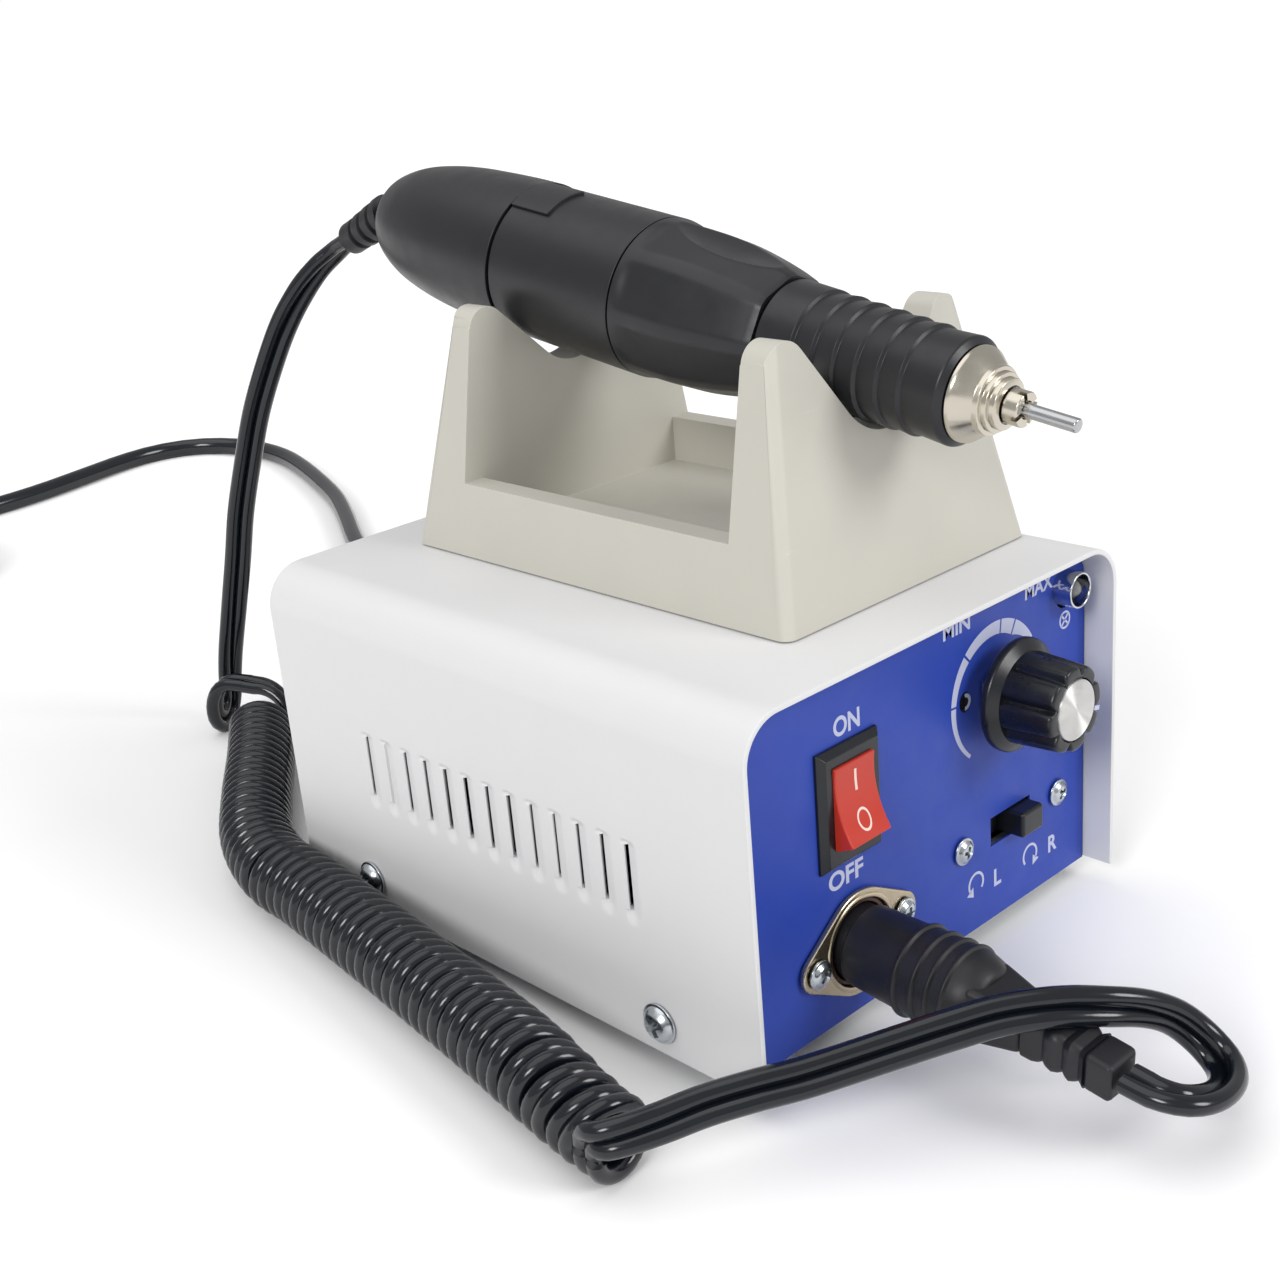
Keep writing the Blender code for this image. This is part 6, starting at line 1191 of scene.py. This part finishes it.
def make_housing():
    """Rear shell, motor housing with its key tab, and the ribbed tail relief."""
    shares = [(0.05, 0.475), (0.12, 0.638), (0.24, 0.787), (0.38, 0.882), (0.53, 0.942), (0.69, 0.974),
              (0.864, 0.995), (1.0, 1.0)]
    rough = [Vector((5.0, -87.0, 0))] + [Vector((14.8 * r, -87.0 + 46.3 * a, 0)) for a, r in shares]
    outer = [(p.x, p.y) for p in curve_through(rough)[::4]]
    shell = lathe([(3.2, -87.0)] + outer[:-1] + [(14.8, -40.7, 0.15), (13.2, -40.7), (13.2, -60.0),
                  (10.0, -78.0), (3.2, -84.0)], 128, on_axis())
    put(shell, "tail_shell", "handpiece_nylon", ["rear_shell"], "handpiece")
    body = lathe([(12.9, -40.2), (14.5, -40.2, 0.2), (14.5, -8.3, 0.15), (12.9, -8.3)], 128)
    tab = drawn(arc(0, 0, 15.1, 87, 125, 14) + arc(0, 0, 14.0, 125, 87, 14), 10.0,
                Matrix.Translation((0, 0, -40.2)))
    soften(tab, 0.18, 2, 50.0)
    merged(body, tab)
    bmesh.ops.transform(body, matrix=on_axis(), verts=body.verts)
    put(body, "motor_tube", "handpiece_nylon", ["motor_housing"], "handpiece")
    root = Matrix.Translation((AXIS_X, 75.53, 125.09)) @ Matrix.Rotation(math.radians(-112.0), 4, 'X')
    profile = [(0, 0), (4.2, 0, 0.3)]
    for index in range(4):
        radius = 4.2 - 0.7 * index / 3
        at = 4.0 * index
        profile.append((radius, at + 2.1, 0.3))
        if index < 3:
            profile += [(radius - 1.0, at + 2.5, 0.2), (radius - 1.1, at + 3.6, 0.2),
                        (radius - 0.2, at + 3.9, 0.2)]
    profile += [(3.5, 16.0, 0.5), (0, 16.0)]
    relief = lathe(profile, 64, root)
    lathe([(0, -89.6), (2.9, -89.6), (2.9, -83.0), (0, -83.0)], 32, on_axis(), relief)
    put(relief, "cord_relief", "soft_pvc", ["tail_relief"], "handpiece")


def make_sleeve():
    """The chuck lock sleeve: eight soft facets with a thumb hollow on top."""
    settings = bpy.context.scene.micromotor_handpiece
    rough = [(14.5, -7.8), (14.4, -4.0), (14.4, 0.0), (14.25, 4.0), (13.8, 8.0), (12.9, 13.2), (11.8, 18.2),
             (10.9, 21.4)]
    outer = [(p.x, p.y) for p in spaced(curve_through([(a, b, 0) for a, b in rough]), 60)[0]]
    sleeve = lathe([(8.5, -7.8)] + outer + [(10.5, 22.2), (8.5, 22.2)], 192)
    facet = math.tau / 8
    middle = 7.2
    for corner in sleeve.verts:
        reach = corner.co.xy.length
        if reach < 9.0:
            continue
        begin_share = eased((corner.co.z + 7.5) / 3.0)
        turn = math.atan2(corner.co.y, corner.co.x) % facet - facet / 2
        flat = reach * settings.flat_share / math.cos(turn)
        wanted = soft_least(reach, flat, 0.1)
        corner.co.xy *= (reach + (wanted - reach) * begin_share) / reach
        if corner.co.y > 5.0:
            along = corner.co.z - middle
            rise = 27.95 - along * math.tan(math.radians(7.0)) - 1.25 * (1 - (along / 12.1) ** 2)
            under = rise - math.sqrt(max(15.0 ** 2 - corner.co.x ** 2, 0.0))
            corner.co.y = soft_least(corner.co.y, under, 0.1)
    bmesh.ops.transform(sleeve, matrix=on_axis(), verts=sleeve.verts)
    put(sleeve, "locking_sleeve", "handpiece_nylon", ["lock_sleeve"], "sleeve", angle=40.0)


def make_nose():
    """The ribbed grip, plated cone and collar, split collet nut and the mandrel pin."""
    def radius_at(along):
        return 10.0 - (along - 22.7) / 37.3
    profile = [(8.3, 22.7), (10.0, 22.7, 0.2)]
    for index in range(6):
        at = 30.0 + 4.4 * index
        profile += [(radius_at(at), at, 0.08), (radius_at(at) - 0.55, at + 0.45, 0.1)]
    profile += [(9.0, 59.1, 0.35), (7.9, 60.0), (7.0, 60.0), (7.0, 57.5), (8.3, 57.5)]
    put(lathe(profile, 128, on_axis()), "ribbed_grip", "handpiece_nylon", ["nose_grip"],
        "handpiece")
    cone = [(3.1, 60.3), (7.9, 60.3, 0.15), (7.75, 61.2), (5.7, 63.9, 0.1), (5.6, 64.8, 0.12),
            (4.9, 64.9, 0.05),
            (4.9, 65.8, 0.12), (4.2, 65.9, 0.05), (4.2, 66.9, 0.12), (3.1, 67.2)]
    put(lathe(cone, 96, on_axis()), "plated_cone", "turned_nickel", ["nose_cone"], "handpiece")
    nut = lathe([(1.475, 67.5), (2.9, 67.5, 0.1), (2.9, 70.2, 0.3), (1.475, 70.2, 0.1)], 64)
    for turn in (20.0, 110.0):
        slot = block((8.0, 0.8, 2.4))
        turned = Matrix.Rotation(math.radians(turn), 4, 'Z')
        bmesh.ops.transform(slot, matrix=Matrix.Translation((0, 0, 70.2)) @ turned, verts=slot.verts)
        nut = carved(nut, slot)
    bmesh.ops.transform(nut, matrix=on_axis(), verts=nut.verts)
    put(nut, "split_nut", "turned_nickel", ["collet_nut"], "rotor")
    pin = lathe([(0, 58.2), (1.175, 58.2), (1.175, 79.5, 0.35), (0, 79.5)], 48, on_axis())
    put(pin, "mandrel_pin", "ground_steel", ["tool_pin"], "rotor")


def finish_inner_nodes():
    """Finishes of the pieces inside the case and the handpiece, which keep their own shape."""
    for finish, nodes in (("galvanised_sheet", ["chassis"]), ("core_plates", ["transformer_core"]),
                          ("polyester_tape", ["transformer_coil"]), ("solder_mask", ["circuit_board"]),
                          ("zinc_plate", ["speed_pot", "slide_switch"]), ("turned_nickel", ["pot_nut"]),
                          ("ground_steel",
                           ["magnet_ring", "rear_bearing", "front_bearing", "chuck_housing", "spindle"]),
                          ("cast_aluminium", ["end_bell"]),
                          ("phenolic", ["brush_holder_1", "brush_holder_2"]),
                          ("enamelled_copper", ["armature"])):
        for node in nodes:
            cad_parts[node].data.materials.clear()
            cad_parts[node].data.materials.append(make_finish(finish))


# Stage

def make_stage():
    """Pale floor, white surround and soft lamps."""
    settings = bpy.context.scene.micromotor_stage
    shape = bmesh.new()
    bmesh.ops.create_grid(shape, x_segments=1, y_segments=1, size=settings.floor_size / 2)
    mesh = bpy.data.meshes.new("floor")
    shape.to_mesh(mesh)
    shape.free()
    floor = bpy.data.objects.new("floor", mesh)
    bpy.context.scene.collection.objects.link(floor)
    made = bpy.data.materials.new("floor_card")
    made.use_nodes = True
    tree = made.node_tree
    tree.nodes.clear()
    path = add(tree, "ShaderNodeLightPath")
    seen = add(tree, "ShaderNodeMath", {0: path.outputs["Is Camera Ray"], 1: path.outputs["Is Glossy Ray"]},
               operation='MAXIMUM')
    seen = add(tree, "ShaderNodeMath", {0: seen.outputs[0], 1: path.outputs["Is Transmission Ray"]},
               operation='MAXIMUM').outputs[0]
    plain = add(tree, "ShaderNodeBsdfDiffuse", {"Color": (0.8, 0.8, 0.8, 1.0)}).outputs[0]
    white = add(tree, "ShaderNodeBsdfDiffuse", {"Color": (settings.floor_white,) * 3 + (1.0,)}).outputs[0]
    mixed = add(tree, "ShaderNodeMixShader", {0: seen, 1: plain, 2: white}).outputs[0]
    add(tree, "ShaderNodeOutputMaterial", {"Surface": mixed})
    mesh.materials.append(made)

    world = bpy.data.worlds.new("surround")
    bpy.context.scene.world = world
    world.use_nodes = True
    tree = world.node_tree
    tree.nodes.clear()
    path = add(tree, "ShaderNodeLightPath")
    seen = add(tree, "ShaderNodeMath",
               {0: path.outputs["Is Camera Ray"], 1: path.outputs["Is Transmission Ray"]},
               operation='MAXIMUM').outputs[0]
    level = add(tree, "ShaderNodeMapRange",
                {"Value": seen, "To Min": settings.surround_level, "To Max": 1.0}).outputs[0]
    back = add(tree, "ShaderNodeBackground", {"Color": (1.0, 1.0, 1.0, 1.0), "Strength": level}).outputs[0]
    add(tree, "ShaderNodeOutputWorld", {"Surface": back})

    for name, way, spread, power in (("overhead_lamp", (-0.25, 0.2, 1.0), 60.0, settings.overhead_power),
                                     ("left_lamp", (-1.0, -0.3, 0.6), 20.0, settings.side_power),
                                     ("front_lamp", (0.35, -1.0, 0.6), 24.0, settings.front_power)):
        light = bpy.data.lights.new(name, 'SUN')
        light.angle = math.radians(spread)
        light.energy = power
        lamp = bpy.data.objects.new(name, light)
        bpy.context.scene.collection.objects.link(lamp)
        lamp.location = way
        lamp.rotation_euler = Vector(way).to_track_quat('Z', 'Y').to_euler()
    bpy.context.scene.view_settings.view_transform = 'Standard'


# Settings that a user would change

class MicromotorCaseSettings(bpy.types.PropertyGroup):
    louvre_depth: FloatProperty(name="Louvre depth",
                                description="How far each louvre is pressed into the side",
                                default=0.55 * MM, min=0.0, max=3 * MM, unit='LENGTH')
    letter_height: FloatProperty(name="Letter height", description="Height of the panel's letters",
                                 default=3.4 * MM, min=1 * MM, max=6 * MM, unit='LENGTH')


class MicromotorControlSettings(bpy.types.PropertyGroup):
    flute_depth: FloatProperty(name="Flute depth", description="Depth of the grooves along the speed knob",
                               default=0.95 * MM, min=0.0, max=1.5 * MM, unit='LENGTH')


class MicromotorHandpieceSettings(bpy.types.PropertyGroup):
    flat_share: FloatProperty(name="Facet depth",
                              description="Radius of the sleeve at the middle of a facet, "
                              "as a share of its full radius", default=0.955, min=0.92, max=1.0,
                              subtype='FACTOR')


class MicromotorCordSettings(bpy.types.PropertyGroup):
    lobe: FloatProperty(name="Lobe radius", description="Radius of each half of the twin cord",
                        default=1.58 * MM, min=1.2 * MM, max=1.6 * MM, unit='LENGTH')


class MicromotorFinishSettings(bpy.types.PropertyGroup):
    cover: FloatVectorProperty(name="Cover", description="Powder coat of the cover", subtype='COLOR', size=4,
                               default=srgb("E1E1E2"), min=0.0, max=1.0)
    label: FloatVectorProperty(name="Label", description="Ground colour of the front film", subtype='COLOR',
                               size=4,
                               default=srgb("2C47AB"), min=0.0, max=1.0)
    cradle: FloatVectorProperty(name="Cradle", description="Moulded colour of the cradle", subtype='COLOR',
                                size=4,
                                default=srgb("C7C4BA"), min=0.0, max=1.0)
    handpiece: FloatVectorProperty(name="Handpiece", description="Moulded colour of the handpiece",
                                   subtype='COLOR', size=4, default=srgb("1B1C20"), min=0.0, max=1.0)
    cord: FloatVectorProperty(name="Cord", description="Sheath colour of every cord", subtype='COLOR', size=4,
                              default=srgb("10141B"), min=0.0, max=1.0)
    rocker: FloatVectorProperty(name="Rocker", description="Moulded colour of the power rocker",
                                subtype='COLOR',
                                size=4, default=srgb("C23321"), min=0.0, max=1.0)


class MicromotorStageSettings(bpy.types.PropertyGroup):
    floor_size: FloatProperty(name="Floor size", description="Length of each side of the floor", default=12.0,
                              min=2.0, max=40.0, unit='LENGTH')
    floor_white: FloatProperty(name="Floor white", description="How white the floor is to the eye",
                               default=1.02,
                               min=0.5, max=2.0)
    surround_level: FloatProperty(name="Surround level", description="Light from all round", default=0.48,
                                  min=0.0, max=2.0)
    overhead_power: FloatProperty(name="Overhead lamp", description="Strength of the light overhead",
                                  default=0.8, min=0.0, max=10.0)
    side_power: FloatProperty(name="Left lamp", description="Strength of the light at the left", default=1.15,
                              min=0.0, max=10.0)
    front_power: FloatProperty(name="Front lamp", description="Strength of the light in front", default=1.25,
                               min=0.0, max=10.0)


# Operators

class MICROMOTOR_OT_camera(bpy.types.Operator):
    """Place the camera at the front left"""
    bl_idname = "micromotor.camera"
    bl_label = "Camera"

    def execute(self, context):
        place_camera()
        return {'FINISHED'}


class MICROMOTOR_OT_plug(bpy.types.Operator):
    """Make the moulded plug and its ribbed tail"""
    bl_idname = "micromotor.plug"
    bl_label = "Plug"

    def execute(self, context):
        make_plug()
        return {'FINISHED'}


class MICROMOTOR_OT_twin_cords(bpy.types.Operator):
    """Make the hanging and the curly stretch of the twin cord"""
    bl_idname = "micromotor.twin_cords"
    bl_label = "Twin cords"

    def execute(self, context):
        if context.scene.camera is None:
            raise RuntimeError("the twin cords turn their wide side by the camera, so it comes first")
        make_twin_cords()
        return {'FINISHED'}


class MICROMOTOR_OT_mains_lead(bpy.types.Operator):
    """Make the mains lead with its plug"""
    bl_idname = "micromotor.mains_lead"
    bl_label = "Mains lead"

    def execute(self, context):
        make_mains_lead()
        return {'FINISHED'}


class MICROMOTOR_OT_cover(bpy.types.Operator):
    """Make the bent cover with its louvres"""
    bl_idname = "micromotor.cover"
    bl_label = "Cover"

    def execute(self, context):
        make_cover()
        return {'FINISHED'}


class MICROMOTOR_OT_fasteners(bpy.types.Operator):
    """Make the screws, the feet and the fittings on the rear plate"""
    bl_idname = "micromotor.fasteners"
    bl_label = "Screws, feet and rear fittings"

    def execute(self, context):
        make_fasteners()
        make_feet()
        make_rear_fittings()
        return {'FINISHED'}


class MICROMOTOR_OT_panel(bpy.types.Operator):
    """Finish the front film and print its lettering"""
    bl_idname = "micromotor.panel"
    bl_label = "Front film"

    def execute(self, context):
        make_panel_print()
        return {'FINISHED'}


class MICROMOTOR_OT_controls(bpy.types.Operator):
    """Make the rocker, the knob, the lamp and the direction button"""
    bl_idname = "micromotor.controls"
    bl_label = "Front controls"

    def execute(self, context):
        make_rocker()
        make_knob()
        make_lamp()
        make_slide_button()
        return {'FINISHED'}


class MICROMOTOR_OT_socket(bpy.types.Operator):
    """Make the output socket"""
    bl_idname = "micromotor.socket"
    bl_label = "Output socket"

    def execute(self, context):
        make_socket()
        return {'FINISHED'}


class MICROMOTOR_OT_cradle(bpy.types.Operator):
    """Make the cradle"""
    bl_idname = "micromotor.cradle"
    bl_label = "Cradle"

    def execute(self, context):
        make_cradle()
        return {'FINISHED'}


class MICROMOTOR_OT_handpiece(bpy.types.Operator):
    """Make the handpiece's shell, sleeve, grip and chuck"""
    bl_idname = "micromotor.handpiece"
    bl_label = "Handpiece"

    def execute(self, context):
        make_housing()
        make_sleeve()
        make_nose()
        return {'FINISHED'}


class MICROMOTOR_OT_inner_pieces(bpy.types.Operator):
    """Finish the pieces inside the case and the handpiece"""
    bl_idname = "micromotor.inner_pieces"
    bl_label = "Inner pieces"

    def execute(self, context):
        finish_inner_nodes()
        return {'FINISHED'}


class MICROMOTOR_OT_stage(bpy.types.Operator):
    """Make the floor, the surround and the lamps"""
    bl_idname = "micromotor.stage"
    bl_label = "Stage"

    def execute(self, context):
        make_stage()
        return {'FINISHED'}


STEPS = (MICROMOTOR_OT_camera, MICROMOTOR_OT_plug, MICROMOTOR_OT_twin_cords, MICROMOTOR_OT_mains_lead,
         MICROMOTOR_OT_cover, MICROMOTOR_OT_fasteners, MICROMOTOR_OT_panel, MICROMOTOR_OT_controls,
         MICROMOTOR_OT_socket, MICROMOTOR_OT_cradle, MICROMOTOR_OT_handpiece, MICROMOTOR_OT_inner_pieces,
         MICROMOTOR_OT_stage)
SETTINGS = (("micromotor_case", MicromotorCaseSettings), ("micromotor_controls", MicromotorControlSettings),
            ("micromotor_handpiece", MicromotorHandpieceSettings),
            ("micromotor_cords", MicromotorCordSettings),
            ("micromotor_finish", MicromotorFinishSettings), ("micromotor_stage", MicromotorStageSettings))


class MICROMOTOR_PT_sidebar(bpy.types.Panel):
    """Lists the micromotor's settings and the steps that make it"""
    bl_label = "Micromotor"
    bl_idname = "MICROMOTOR_PT_sidebar"
    bl_space_type = 'VIEW_3D'
    bl_region_type = 'UI'
    bl_category = "Micromotor"

    def draw(self, context):
        for name, group in SETTINGS:
            column = self.layout.column()
            for setting in group.__annotations__:
                column.prop(getattr(context.scene, name), setting)
        for step in STEPS:
            self.layout.operator(step.bl_idname)


def register():
    for name, group in SETTINGS:
        bpy.utils.register_class(group)
        setattr(bpy.types.Scene, name, PointerProperty(type=group))
    for step in STEPS + (MICROMOTOR_PT_sidebar,):
        bpy.utils.register_class(step)


def unregister():
    for step in reversed(STEPS + (MICROMOTOR_PT_sidebar,)):
        bpy.utils.unregister_class(step)
    for name, group in reversed(SETTINGS):
        delattr(bpy.types.Scene, name)
        bpy.utils.unregister_class(group)


def plain(bounds):
    return [[float(number) for number in corner] for corner in bounds]


def main():
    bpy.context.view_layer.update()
    register()
    for step in STEPS:
        group, name = step.bl_idname.split(".")
        getattr(getattr(bpy.ops, group), name)()


if __name__ == "__main__":
    main()
